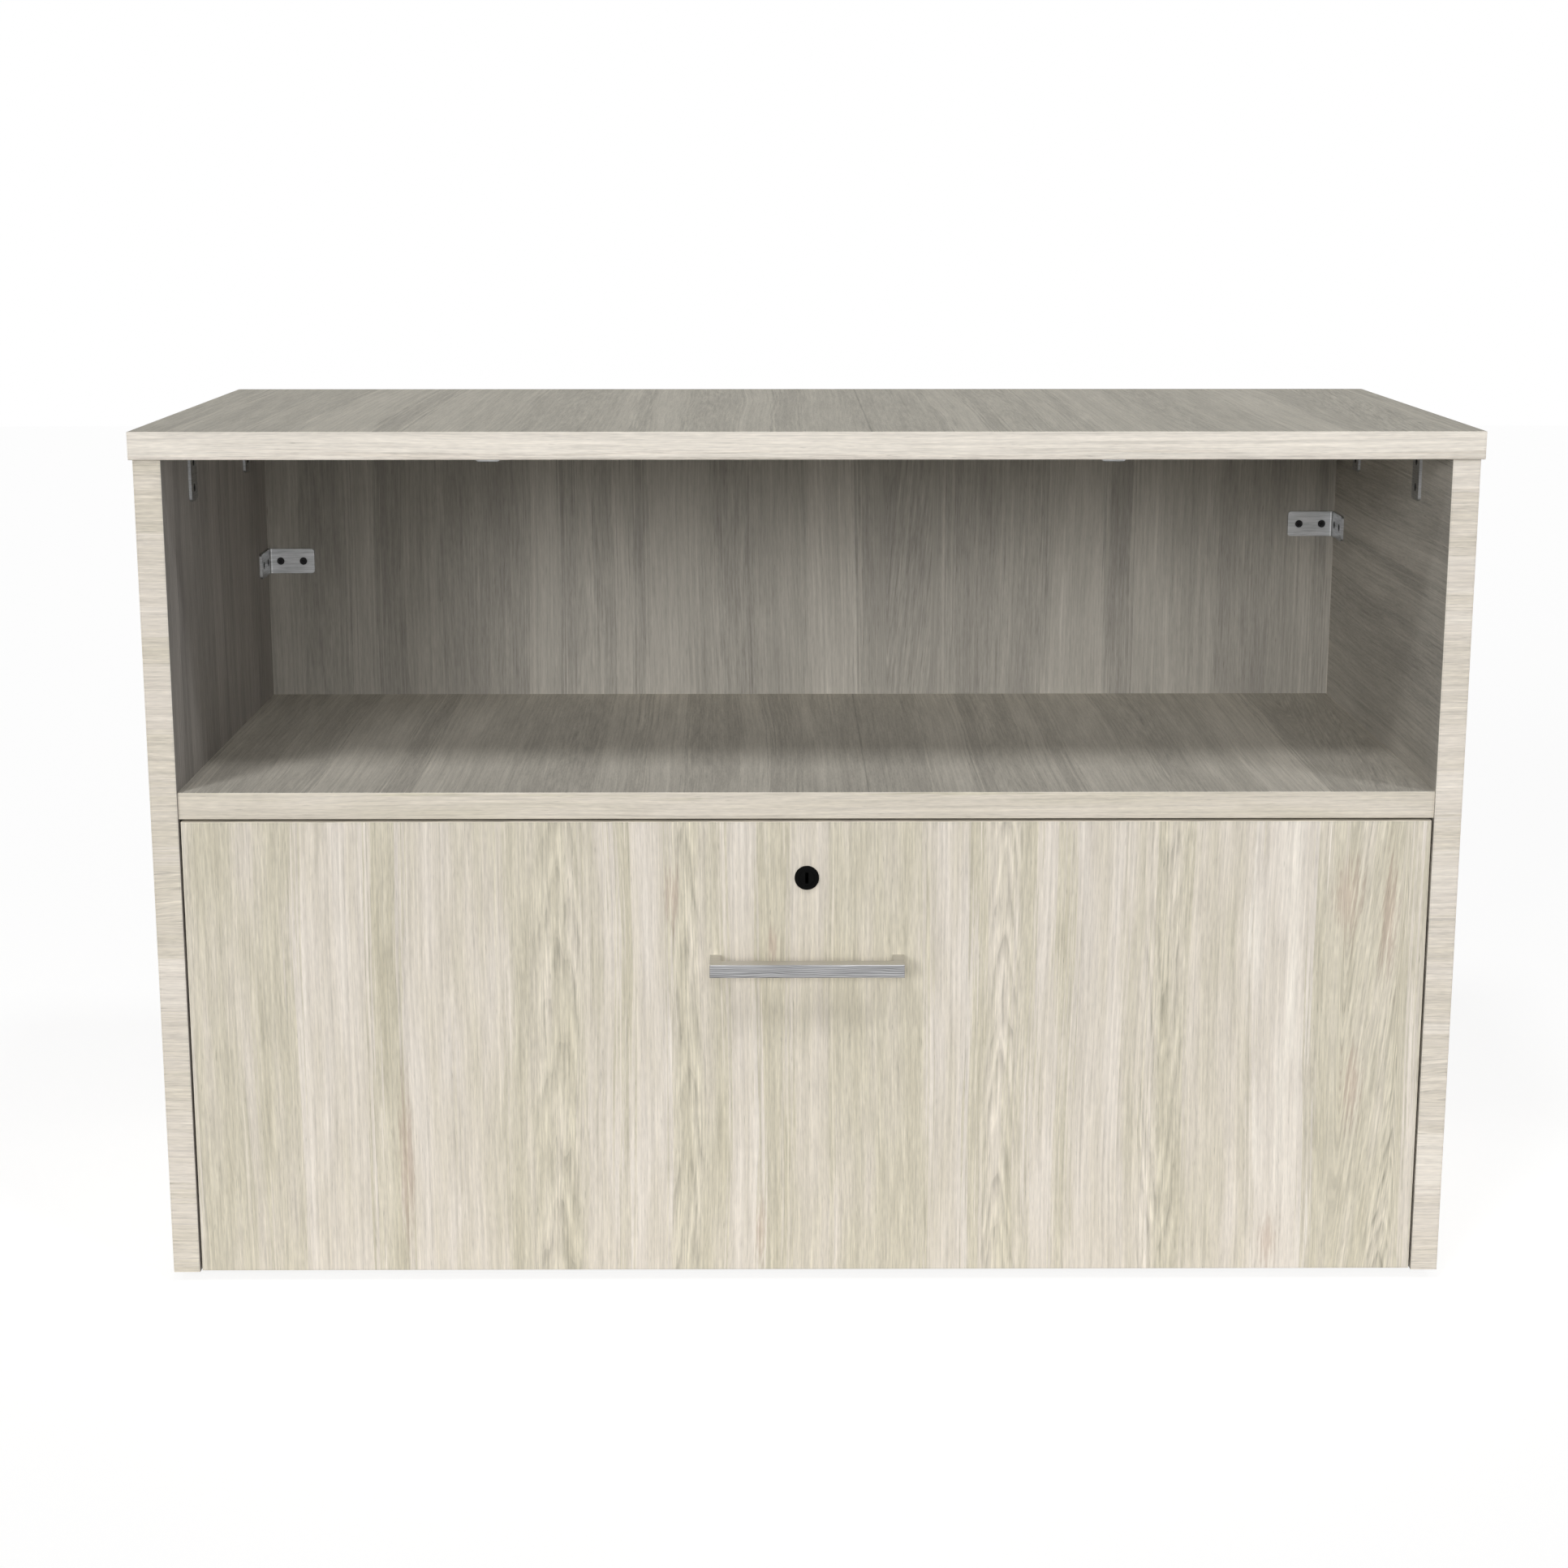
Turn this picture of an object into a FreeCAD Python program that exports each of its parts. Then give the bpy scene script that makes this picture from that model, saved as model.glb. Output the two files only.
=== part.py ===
import FreeCAD
import Part
import math
import os
import Sketcher
from types import SimpleNamespace
from FreeCAD import Placement, Rotation, Vector

# Credenza: laminate carcass with an open bay above one wide file drawer on ball-bearing slides.
# Millimetres, +Z up, front towards -Y. Origin on the floor, in the middle of width and depth.

# Driving sizes: name, value in millimetres or degrees, meaning
SIZES = [
    ("carcass_width", 909, "width over the outside of the side panels"),
    ("carcass_depth", 391.5, "depth of the side panels"),
    ("side_height", 582.5, "height of the side panels"),
    ("side_thickness", 19, "thickness of the side panels"),
    ("top_thickness", 19, "thickness of the top panel"),
    ("top_side_overhang", 2.5, "top beyond each side panel"),
    ("top_front_overhang", 2.5, "top beyond the front edges of the side panels"),
    ("shelf_thickness", 19, "thickness of the fixed shelf"),
    ("shelf_underside", 333.5, "shelf underside above the lower edge of the side panels"),
    ("shelf_setback", 2, "shelf front edge behind the front edges of the side panels"),
    ("back_thickness", 16, "thickness of the back panel"),
    ("bottom_thickness", 16, "thickness of the bottom panel"),
    ("bottom_setback", 2, "bottom panel behind the rear face of the drawer front"),
    ("edge_round", 0.8, "rounding of the edge bands"),
    ("glide_height", 8, "height of the floor glides"),
    ("glide_diameter", 16, "diameter of the floor glides"),
    ("glide_bevel", 1.5, "bevel round the foot of a glide"),
    ("glide_inset", 60, "glide centre from the front or rear edge of a side panel"),
    ("nail_diameter", 3, "nail of a glide"),
    ("nail_length", 16, "nail of a glide above its head"),
    ("bore_clearance", 0.1, "bore diameter over the diameter of what sits in it"),
    ("bracket_leg", 38, "leg length of a corner bracket"),
    ("bracket_width", 20, "width of a corner bracket"),
    ("bracket_sheet", 2, "sheet thickness of a corner bracket"),
    ("bracket_bend", 1.5, "inner bend radius of a corner bracket"),
    ("bracket_corner", 2.5, "rounded leg corners of a corner bracket"),
    ("bracket_hole_near", 10.5, "first bracket hole from the corner"),
    ("bracket_hole_pitch", 18.5, "second bracket hole from the first"),
    ("bracket_spread", 100, "bracket rows in front of and behind the middle of the depth"),
    ("top_back_bracket_offset", 254, "top to back brackets from the middle of the width"),
    ("left_back_bracket_height", 463.5, "left back bracket above the lower edge of the side panels"),
    ("right_back_bracket_height", 493.5, "right back bracket above the lower edge of the side panels"),
    ("lower_back_bracket_height", 215, "drawer bay back brackets above that edge"),
    ("screw_shank", 3, "shank diameter of a flat-head screw"),
    ("screw_point", 2.5, "length of a screw's point"),
    ("bracket_screw_head", 6.2, "head diameter of a bracket screw"),
    ("bracket_screw_length", 14, "length of a bracket screw"),
    ("sheet_screw_head", 5, "head diameter of a slide or strike screw"),
    ("sheet_screw_length", 10, "length of a slide or strike screw"),
    ("bore_beyond", 1, "pilot bore beyond the point of its screw"),
    ("front_thickness", 19, "thickness of the drawer front"),
    ("front_side_gap", 1.5, "gap at each side of the drawer front"),
    ("front_top_gap", 1.5, "gap above the drawer front"),
    ("front_lower_gap", 1, "drawer front above the lower edge of the side panels"),
    ("box_depth", 332, "depth of the drawer box"),
    ("box_height", 241, "height of the drawer box"),
    ("box_wall", 12, "thickness of the drawer box walls"),
    ("box_floor_gap", 8, "drawer box above the bottom panel"),
    ("box_bottom_thickness", 4, "thickness of the drawer box bottom"),
    ("groove_depth", 6, "groove of the box bottom in the walls"),
    ("groove_height", 8, "groove of the box bottom above the lower edge of the walls"),
    ("groove_clearance", 0.2, "play of a board or tongue in its groove"),
    ("dowel_diameter", 6, "corner dowels of the drawer box"),
    ("dowel_side_depth", 8, "dowel depth in a box side"),
    ("dowel_end_depth", 20, "dowel depth in the end of a box front or back"),
    ("dowel_first", 40, "lowest dowel above the lower edge of the box"),
    ("dowel_pitch", 80, "distance between dowels"),
    ("rail_web", 1.6, "wall thickness of a hanging rail"),
    ("rail_fin", 10, "height of the fin that carries the file hooks"),
    ("rail_tongue", 2.6, "thickness of a rail's tongue"),
    ("rail_tongue_depth", 10, "depth of a rail's tongue"),
    ("rail_end_gap", 2, "rail end from the box side"),
    ("front_screw_head", 8, "head diameter of a drawer front screw"),
    ("front_screw_head_height", 2, "head height of a drawer front screw"),
    ("front_screw_shank", 3.5, "shank diameter of a drawer front screw"),
    ("front_screw_length", 26, "drawer front screw below its head"),
    ("front_screw_side", 330, "drawer front screws from the middle of the width"),
    ("front_screw_low", 60, "lower drawer front screws above the lower edge of the box"),
    ("front_screw_rise", 130, "upper drawer front screws above the lower ones"),
    ("handle_hole_spacing", 128, "screw spacing of the pull"),
    ("handle_leg", 7.5, "width of a leg of the pull"),
    ("handle_bar_depth", 10, "depth of the bar of the pull"),
    ("handle_bar_height", 9.5, "height of the bar of the pull"),
    ("handle_projection", 26, "pull in front of the drawer front"),
    ("handle_round", 0.8, "rounded front edges of the pull"),
    ("handle_height", 231.5, "middle of the pull above the lower edge of the side panels"),
    ("handle_screw", 4, "thread diameter of a pull screw"),
    ("handle_screw_reach", 10, "pull screw inside the leg"),
    ("handle_screw_head", 7.6, "head diameter of a pull screw"),
    ("handle_screw_head_height", 2.4, "head height of a pull screw"),
    ("handle_head_bore", 9, "bore for the head of a pull screw"),
    ("handle_head_depth", 3, "depth of that bore"),
    ("lock_height", 292, "lock axis above the lower edge of the side panels"),
    ("lock_face", 17, "face diameter of the lock"),
    ("lock_face_thickness", 2, "face of the lock in front of the drawer front"),
    ("lock_barrel", 14, "barrel diameter of the lock"),
    ("lock_barrel_rear", 5, "barrel behind the drawer front"),
    ("lock_bevel", 0.6, "bevel round the face of the lock"),
    ("plug_diameter", 11, "diameter of the plug"),
    ("plug_recess", 0.3, "plug face behind the lock face"),
    ("plug_clearance", 0.2, "bore of the plug over its diameter"),
    ("keyway_width", 2.2, "width of the keyway"),
    ("keyway_height", 8, "height of the keyway"),
    ("keyway_depth", 16, "depth of the keyway"),
    ("tenon", 6, "square tenon of the plug"),
    ("nut_across", 19, "lock nut across its flats"),
    ("nut_thickness", 3.5, "thickness of the lock nut"),
    ("cam_reach", 36, "tip of the cam from the lock axis"),
    ("cam_width", 15, "width of the cam"),
    ("cam_thickness", 2, "thickness of the cam"),
    ("cam_gap", 0.3, "cam behind the barrel"),
    ("cam_screw", 3, "thread diameter of the cam screw"),
    ("cam_screw_reach", 8, "cam screw inside the plug"),
    ("cam_screw_head", 8, "head diameter of the cam screw"),
    ("cam_screw_head_height", 2, "head height of the cam screw"),
    ("strike_width", 44, "width of the lock strike"),
    ("strike_drop", 16, "strike below the shelf"),
    ("strike_flange", 18, "flange of the strike on the shelf"),
    ("strike_sheet", 1.5, "sheet thickness of the strike"),
    ("strike_gap", 1.2, "strike in front of the cam"),
    ("strike_screw_side", 14, "strike screws from the middle"),
    ("slide_length", 300, "length of a slide member"),
    ("slide_space", 12.7, "side space of a slide"),
    ("slide_height", 110, "slide axis above the lower edge of the side panels"),
    ("slide_setback", 3, "slide behind the rear face of the drawer front"),
    ("slide_sheet", 1, "sheet thickness of the slide members"),
    ("slide_bend", 1.2, "bend radius of the slide members to mid sheet"),
    ("ball_diameter", 3.2, "diameter of the slide balls"),
    ("ball_clearance", 0.1, "ball from its races"),
    ("outer_ball_side", 5, "outer ball row from the side panel"),
    ("outer_ball_rise", 20, "outer ball row from the slide axis"),
    ("ball_row_step", 2.9, "inner ball row sideways from the outer row"),
    ("outer_lip", 10, "degrees at which an outer race ends"),
    ("middle_lip", 25, "degrees at which an intermediate race ends"),
    ("inner_lip", 215, "degrees at which an inner race ends"),
    ("cage_length", 120, "length of a ball cage"),
    ("cage_sheet", 0.5, "sheet thickness of a ball cage"),
    ("cage_gap", 0.3, "ball cage from the outer slide member"),
    ("cage_inner_gap", 0.4, "ball cage from the intermediate slide member"),
    ("cage_lap", 1.4, "cage beyond the middle of its balls"),
    ("cage_first_ball", 15, "first ball from the front end of its cage"),
    ("ball_pitch", 18, "distance between balls of a row"),
    ("slide_screw_first", 37, "first slide screw from the front end"),
    ("slide_screw_pitch", 113, "distance between slide screws"),
    ("access_hole", 10, "screwdriver holes of the intermediate member"),
]
BALLS_PER_ROW = 6
SCREWS_PER_MEMBER = 3
DOWELS_PER_CORNER = 3

doc = FreeCAD.newDocument("credenza")
sheet = doc.addObject("Spreadsheet::Sheet", "sizes")
for row, (alias, number, meaning) in enumerate(SIZES, start=1):
    sheet.set(f"A{row}", meaning)
    sheet.set(f"B{row}", str(number))
    sheet.setAlias(f"B{row}", alias)
doc.recompute()


class Size:
    """A number and the spreadsheet formula that gives it."""

    def __init__(self, formula, value):
        self.formula = formula
        self.value = value

    def __add__(self, other):
        other = as_size(other)
        return Size(f"({self.formula} + {other.formula})", self.value + other.value)

    def __sub__(self, other):
        other = as_size(other)
        return Size(f"({self.formula} - {other.formula})", self.value - other.value)

    def __mul__(self, other):
        other = as_size(other)
        return Size(f"({self.formula} * {other.formula})", self.value * other.value)

    def __truediv__(self, other):
        other = as_size(other)
        return Size(f"({self.formula} / {other.formula})", self.value / other.value)

    def __neg__(self):
        return Size(f"(0 - {self.formula})", -self.value)


def as_size(number):
    """Give a plain number the form of a size."""
    if isinstance(number, Size):
        return number
    return Size(f"({number})", float(number))


ZERO = Size("0", 0.0)
s = SimpleNamespace(**{
    alias: Size(f"sizes.{alias}", float(getattr(sheet, alias))) for alias, _, _ in SIZES
})

# Planes of the carcass that several pieces share
x_inner = s.carcass_width / 2 - s.side_thickness
inner_width = x_inner * 2
y_front = (s.handle_projection - s.carcass_depth) / 2
y_rear = y_front + s.carcass_depth
y_back_face = y_rear - s.back_thickness
y_middle = y_front + s.carcass_depth / 2
z_side = s.glide_height
z_top = z_side + s.side_height
z_shelf = z_side + s.shelf_underside
z_bottom_top = z_side + s.bottom_thickness

# Planes of the drawer with the drawer shut
y_box = y_front + s.front_thickness
z_box = z_bottom_top + s.box_floor_gap
box_width = inner_width - s.slide_space * 2
box_inner_width = box_width - s.box_wall * 2
z_lock = z_side + s.lock_height
y_cam = y_box + s.lock_barrel_rear + s.cam_gap
y_slide = y_box + s.slide_setback
z_slide = z_side + s.slide_height

nodes = {}


def bind(obj, prop, size):
    """Tie a property to its spreadsheet formula."""
    obj.setExpression(prop, size.formula)


def place(obj, x, y, z, rotation=Rotation()):
    """Put a piece at a point whose three numbers follow the spreadsheet."""
    obj.Placement = Placement(Vector(x.value, y.value, z.value), rotation)
    for axis, size in (("x", x), ("y", y), ("z", z)):
        bind(obj, f"Placement.Base.{axis}", size)


def new_body(label):
    """Start a piece that is made from sketches."""
    body = doc.addObject("PartDesign::Body", label)
    body.Label = label
    return body


def add_sketch(body, role, offset=None):
    """Lay a sketch on an origin plane of a body, or parallel to it."""
    sketch = body.newObject("Sketcher::SketchObject", "outline")
    plane = next(item for item in body.Origin.OriginFeatures if item.Role == role)
    sketch.AttachmentSupport = [(plane, "")]
    sketch.MapMode = "FlatFace"
    if offset is not None:
        sketch.AttachmentOffset = Placement(Vector(0, 0, offset.value), Rotation())
        bind(sketch, "AttachmentOffset.Base.z", offset)
    return sketch


def fix_point(sketch, geometry, point, x, y):
    """Hold a sketch point at two sizes from the sketch origin."""
    for kind, axis, size in (("DistanceX", -2, x), ("DistanceY", -1, y)):
        if size.formula == "0":
            sketch.addConstraint(Sketcher.Constraint("PointOnObject", geometry, point, axis))
        else:
            rule = Sketcher.Constraint(kind, -1, 1, geometry, point, size.value)
            index = sketch.addConstraint(rule)
            sketch.setExpression(f"Constraints[{index}]", size.formula)


def draw_polygon(sketch, points):
    """Draw a closed outline of straight lines."""
    count = len(points)
    first = sketch.GeometryCount
    for index, (x, y) in enumerate(points):
        x_end, y_end = points[(index + 1) % count]
        start = Vector(x.value, y.value, 0)
        end = Vector(x_end.value, y_end.value, 0)
        sketch.addGeometry(Part.LineSegment(start, end), False)
    for index in range(count):
        after = first + (index + 1) % count
        sketch.addConstraint(Sketcher.Constraint("Coincident", first + index, 2, after, 1))
    for index, (x, y) in enumerate(points):
        fix_point(sketch, first + index, 1, x, y)


def draw_rectangle(sketch, x_low, y_low, x_high, y_high):
    """Draw a rectangle between two opposite corners."""
    draw_polygon(sketch, [(x_low, y_low), (x_high, y_low), (x_high, y_high), (x_low, y_high)])


def draw_circles(sketch, centres, diameter):
    """Draw circles of one diameter."""
    for x, y in centres:
        circle = Part.Circle(Vector(x.value, y.value, 0), Vector(0, 0, 1), diameter.value / 2)
        index = sketch.addGeometry(circle, False)
        fix_point(sketch, index, 3, x, y)
        rule = sketch.addConstraint(Sketcher.Constraint("Diameter", index, diameter.value))
        sketch.setExpression(f"Constraints[{rule}]", diameter.formula)


def pad(body, sketch, length, backwards=False):
    """Raise a sketch along its normal."""
    feature = body.newObject("PartDesign::Pad", "pad")
    feature.Profile = sketch
    feature.Reversed = backwards
    bind(feature, "Length", length)
    return feature


def pocket(body, sketch, depth, backwards=False):
    """Sink a sketch against its normal."""
    feature = body.newObject("PartDesign::Pocket", "pocket")
    feature.Profile = sketch
    feature.Reversed = backwards
    bind(feature, "Length", depth)
    return feature


def round_edges(body, test, radius):
    """Round the edges of a body whose bounds pass a test."""
    doc.recompute()
    base = body.Tip
    edges = enumerate(base.Shape.Edges, start=1)
    names = [f"Edge{number}" for number, edge in edges if test(edge.BoundBox)]
    fillet = body.newObject("PartDesign::Fillet", "rounding")
    fillet.Base = (base, names)
    bind(fillet, "Radius", radius)


def turned(label, points):
    """Turn a half outline of radii and heights round the local Z axis."""
    body = new_body(label)
    sketch = add_sketch(body, "XZ_Plane")
    draw_polygon(sketch, points)
    revolution = body.newObject("PartDesign::Revolution", "turning")
    revolution.Profile = sketch
    revolution.ReferenceAxis = (sketch, ["V_Axis"])
    revolution.Angle = 360
    return body


def countersink(body, sketch, bore, head, backwards=False):
    """Bore holes through a sheet with right-angled seats for flat heads."""
    doc.recompute()
    hole = body.newObject("PartDesign::Hole", "countersunk_holes")
    hole.Profile = sketch
    doc.recompute()
    hole.Reversed = backwards
    hole.DepthType = "ThroughAll"
    hole.Threaded = False
    hole.HoleCutType = "Countersink"
    hole.HoleCutCustomValues = True
    hole.HoleCutCountersinkAngle = 90
    bind(hole, "Diameter", bore)
    bind(hole, "HoleCutDiameter", head)


def near(first, second):
    """Tell whether two plain lengths are the same."""
    return abs(first - second) < 1e-4


class Board:
    """A flat panel with its local origin in its left front lower corner."""

    # Face: sketch plane, two axes in the face, axis across it, on the far side
    FACES = {
        "over": ("XY_Plane", 0, 1, 2, True),
        "under": ("XY_Plane", 0, 1, 2, False),
        "rear": ("XZ_Plane", 0, 2, 1, True),
        "front": ("XZ_Plane", 0, 2, 1, False),
        "right": ("YZ_Plane", 1, 2, 0, True),
        "left": ("YZ_Plane", 1, 2, 0, False),
    }

    def __init__(self, label, size, corner):
        self.size = size
        self.corner = corner
        self.body = new_body(label)
        sketch = add_sketch(self.body, "XY_Plane")
        draw_rectangle(sketch, ZERO, ZERO, size[0], size[1])
        pad(self.body, sketch, size[2])
        place(self.body, *corner)
        nodes[label] = self.body

    def face_sketch(self, face):
        """Lay a sketch on a face and tell whether a cut into it runs backwards."""
        plane, _, _, across, far = self.FACES[face]
        flipped = plane == "XZ_Plane"
        offset = None
        if far:
            offset = -self.size[across] if flipped else self.size[across]
        return add_sketch(self.body, plane, offset), far == flipped

    def local(self, face, point):
        """Give the face position of a point of the model's frame."""
        _, first, second, _, _ = self.FACES[face]
        return point[first] - self.corner[first], point[second] - self.corner[second]

    def drill(self, face, points, diameter, depth):
        """Bore round holes at points of the model's frame."""
        sketch, backwards = self.face_sketch(face)
        draw_circles(sketch, [self.local(face, point) for point in points], diameter)
        pocket(self.body, sketch, depth, backwards)

    def groove(self, face, low, high, depth):
        """Sink a rectangle between two local corners of a face."""
        sketch, backwards = self.face_sketch(face)
        draw_rectangle(sketch, *low, *high)
        pocket(self.body, sketch, depth, backwards)


def group(label, master, placements):
    """Make one node of equal pieces, each a solid of its own."""
    doc.recompute()
    copies = []
    for placement in placements:
        copy = master.Shape.copy()
        copy.Placement = placement
        copies.append(copy)
    feature = doc.addObject("Part::Feature", label)
    feature.Label = label
    feature.Shape = Part.makeCompound(copies)
    nodes[label] = feature


def vector(point):
    """Give the plain vector of a point."""
    return Vector(*[size.value for size in point])


# Panels of the carcass
top = Board(
    "top_panel",
    (s.carcass_width + s.top_side_overhang * 2, s.carcass_depth + s.top_front_overhang, s.top_thickness),
    (-(s.carcass_width / 2 + s.top_side_overhang), y_front - s.top_front_overhang, z_top),
)
side_size = (s.side_thickness, s.carcass_depth, s.side_height)
left_side = Board("left_side_panel", side_size, (-(s.carcass_width / 2), y_front, z_side))
right_side = Board("right_side_panel", side_size, (x_inner, y_front, z_side))
back = Board(
    "back_panel",
    (inner_width, s.back_thickness, s.side_height),
    (-x_inner, y_back_face, z_side),
)
shelf = Board(
    "shelf_panel",
    (inner_width, s.carcass_depth - s.back_thickness - s.shelf_setback, s.shelf_thickness),
    (-x_inner, y_front + s.shelf_setback, z_shelf),
)
bottom_depth = s.carcass_depth - s.back_thickness - s.front_thickness - s.bottom_setback
bottom = Board(
    "bottom_panel",
    (inner_width, bottom_depth, s.bottom_thickness),
    (-x_inner, y_box + s.bottom_setback, z_side),
)

# Rounded edge bands at the front and at the ends of the top
rear_of_top = top.size[1].value
round_edges(top.body, lambda box: box.YMin < rear_of_top - 1, s.edge_round)
for board in (left_side, right_side):
    round_edges(board.body, lambda box: near(box.YMax, 0) and box.ZLength > 50, s.edge_round)
round_edges(shelf.body, lambda box: near(box.YMax, 0) and box.XLength > 50, s.edge_round)

# Screws with flat heads: the cone under the head has a right angle
def flat_head_screw(label, head, length):
    """Turn a flat-head screw with the top of its head at the local origin."""
    head_depth = (head - s.screw_shank) / 2
    shank = s.screw_shank / 2
    return turned(label, [
        (ZERO, ZERO), (head / 2, ZERO), (shank, -head_depth),
        (shank, -(length - s.screw_point)), (ZERO, -length),
    ])


bracket_screw = flat_head_screw("bracket_screw", s.bracket_screw_head, s.bracket_screw_length)
sheet_screw = flat_head_screw("sheet_screw", s.sheet_screw_head, s.sheet_screw_length)
screw_bore = s.screw_shank + s.bore_clearance
bracket_bore_depth = s.bracket_screw_length - s.bracket_sheet + s.bore_beyond
slide_bore_depth = s.sheet_screw_length - s.slide_sheet + s.bore_beyond
strike_bore_depth = s.sheet_screw_length - s.strike_sheet + s.bore_beyond

# Pilot bores wanted in each board face, and the places of the screws that sit in them
pilot_bores = {}
bracket_screw_places = []


def want_bore(board, face, point, depth):
    """Note a pilot bore for a screw."""
    _, points = pilot_bores.setdefault((board, face, depth.formula), (depth, []))
    points.append(point)


def bracket(label, corner, first_leg, second_leg, first_board, second_board):
    """Bend a corner bracket whose legs lie on two board faces and note its screws."""
    body = new_body(label)
    leg = s.bracket_leg
    metal = s.bracket_sheet
    half = s.bracket_width / 2
    sketch = add_sketch(body, "XZ_Plane", -half)
    draw_polygon(sketch, [
        (ZERO, ZERO), (leg, ZERO), (leg, metal), (metal, metal), (metal, leg), (ZERO, leg),
    ])
    pad(body, sketch, s.bracket_width)
    tip = leg.value
    thick = metal.value
    round_edges(
        body,
        lambda box: near(box.YLength, 0) and (near(box.XMin, tip) or near(box.ZMin, tip)),
        s.bracket_corner,
    )
    round_edges(body, lambda box: near(box.XMax, 0) and near(box.ZMax, 0), s.bracket_bend + metal)
    round_edges(
        body,
        lambda box: near(box.XMin, thick) and near(box.XMax, thick) and near(box.ZMax, thick),
        s.bracket_bend,
    )
    steps = [s.bracket_hole_near, s.bracket_hole_near + s.bracket_hole_pitch]
    for plane, centres in (
        ("XY_Plane", [(step, ZERO) for step in steps]),
        ("YZ_Plane", [(ZERO, step) for step in steps]),
    ):
        holes = add_sketch(body, plane, metal)
        draw_circles(holes, centres, screw_bore)
        countersink(body, holes, screw_bore, s.bracket_screw_head + s.bore_clearance)
    along = Vector(*first_leg)
    up = Vector(*second_leg)
    place(body, *corner, Rotation(along, up.cross(along), up, "XZY"))
    for step in steps:
        for direction, (board, face) in ((first_leg, first_board), (second_leg, second_board)):
            point = tuple(base + step * part for base, part in zip(corner, direction))
            want_bore(board, face, point, bracket_bore_depth)
        flat = Placement(Vector(step.value, 0, thick), Rotation())
        upright = Placement(Vector(thick, 0, step.value), Rotation(Vector(0, 1, 0), 90))
        bracket_screw_places.append(body.Placement * flat)
        bracket_screw_places.append(body.Placement * upright)
    return body


def bracket_group(label, brackets):
    """Make one node of several hidden brackets."""
    compound = doc.addObject("Part::Compound", label)
    compound.Label = label
    compound.Links = brackets
    nodes[label] = compound


DOWN = (0, 0, -1)
UP = (0, 0, 1)
FORWARD = (0, -1, 0)
SIDES = (
    ("left", -x_inner, (1, 0, 0), left_side, "right"),
    ("right", x_inner, (-1, 0, 0), right_side, "left"),
)
ROWS = (("front", y_middle - s.bracket_spread), ("rear", y_middle + s.bracket_spread))

# Corner brackets in the open bay
for side, x_wall, inward, board, face in SIDES:
    for row, y_row in ROWS:
        label = f"top_bracket_{side}_{row}"
        corner = (x_wall, y_row, z_top)
        nodes[label] = bracket(label, corner, inward, DOWN, (top, "under"), (board, face))
for side, x_back in (("left", -s.top_back_bracket_offset), ("right", s.top_back_bracket_offset)):
    label = f"top_bracket_back_{side}"
    corner = (x_back, y_back_face, z_top)
    nodes[label] = bracket(label, corner, FORWARD, DOWN, (top, "under"), (back, "front"))
back_heights = {"left": s.left_back_bracket_height, "right": s.right_back_bracket_height}
for side, x_wall, inward, board, face in SIDES:
    label = f"back_bracket_{side}"
    corner = (x_wall, y_back_face, z_side + back_heights[side])
    nodes[label] = bracket(label, corner, inward, FORWARD, (back, "front"), (board, face))

# Corner brackets in the drawer bay
shelf_set = []
bottom_set = []
lower_back_set = []
for side, x_wall, inward, board, face in SIDES:
    for row, y_row in ROWS:
        shelf_set.append(bracket(
            f"shelf_bracket_{side}_{row}", (x_wall, y_row, z_shelf),
            inward, DOWN, (shelf, "under"), (board, face),
        ))
        bottom_set.append(bracket(
            f"bottom_bracket_{side}_{row}", (x_wall, y_row, z_bottom_top),
            inward, UP, (bottom, "over"), (board, face),
        ))
    lower_back_set.append(bracket(
        f"lower_back_bracket_{side}", (x_wall, y_back_face, z_side + s.lower_back_bracket_height),
        inward, FORWARD, (back, "front"), (board, face),
    ))
bracket_group("shelf_brackets", shelf_set)
bracket_group("bottom_brackets", bottom_set)
bracket_group("lower_back_brackets", lower_back_set)
group("bracket_screws", bracket_screw, bracket_screw_places)

# Floor glides, each nailed into the lower edge of a side panel
glide_radius = s.glide_diameter / 2
glide = turned("floor_glide", [
    (ZERO, ZERO), (glide_radius - s.glide_bevel, ZERO), (glide_radius, s.glide_bevel),
    (glide_radius, s.glide_height), (s.nail_diameter / 2, s.glide_height),
    (s.nail_diameter / 2, s.glide_height + s.nail_length - s.screw_point),
    (ZERO, s.glide_height + s.nail_length),
])
x_glide = s.carcass_width / 2 - s.side_thickness / 2
glide_rows = (y_front + s.glide_inset, y_rear - s.glide_inset)
glide_places = []
for board, x in ((left_side, -x_glide), (right_side, x_glide)):
    points = [(x, y, ZERO) for y in glide_rows]
    board.drill("under", points, s.nail_diameter + s.bore_clearance, s.nail_length + s.bore_clearance)
    glide_places += [Placement(vector(point), Rotation()) for point in points]
group("floor_glides", glide, glide_places)

# Drawer front
front_height = s.shelf_underside - s.front_top_gap - s.front_lower_gap
front_width = inner_width - s.front_side_gap * 2
front = Board(
    "drawer_front",
    (front_width, s.front_thickness, front_height),
    (-(front_width / 2), y_front, z_side + s.front_lower_gap),
)
round_edges(front.body, lambda box: near(box.YMax, 0), s.edge_round)

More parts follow.
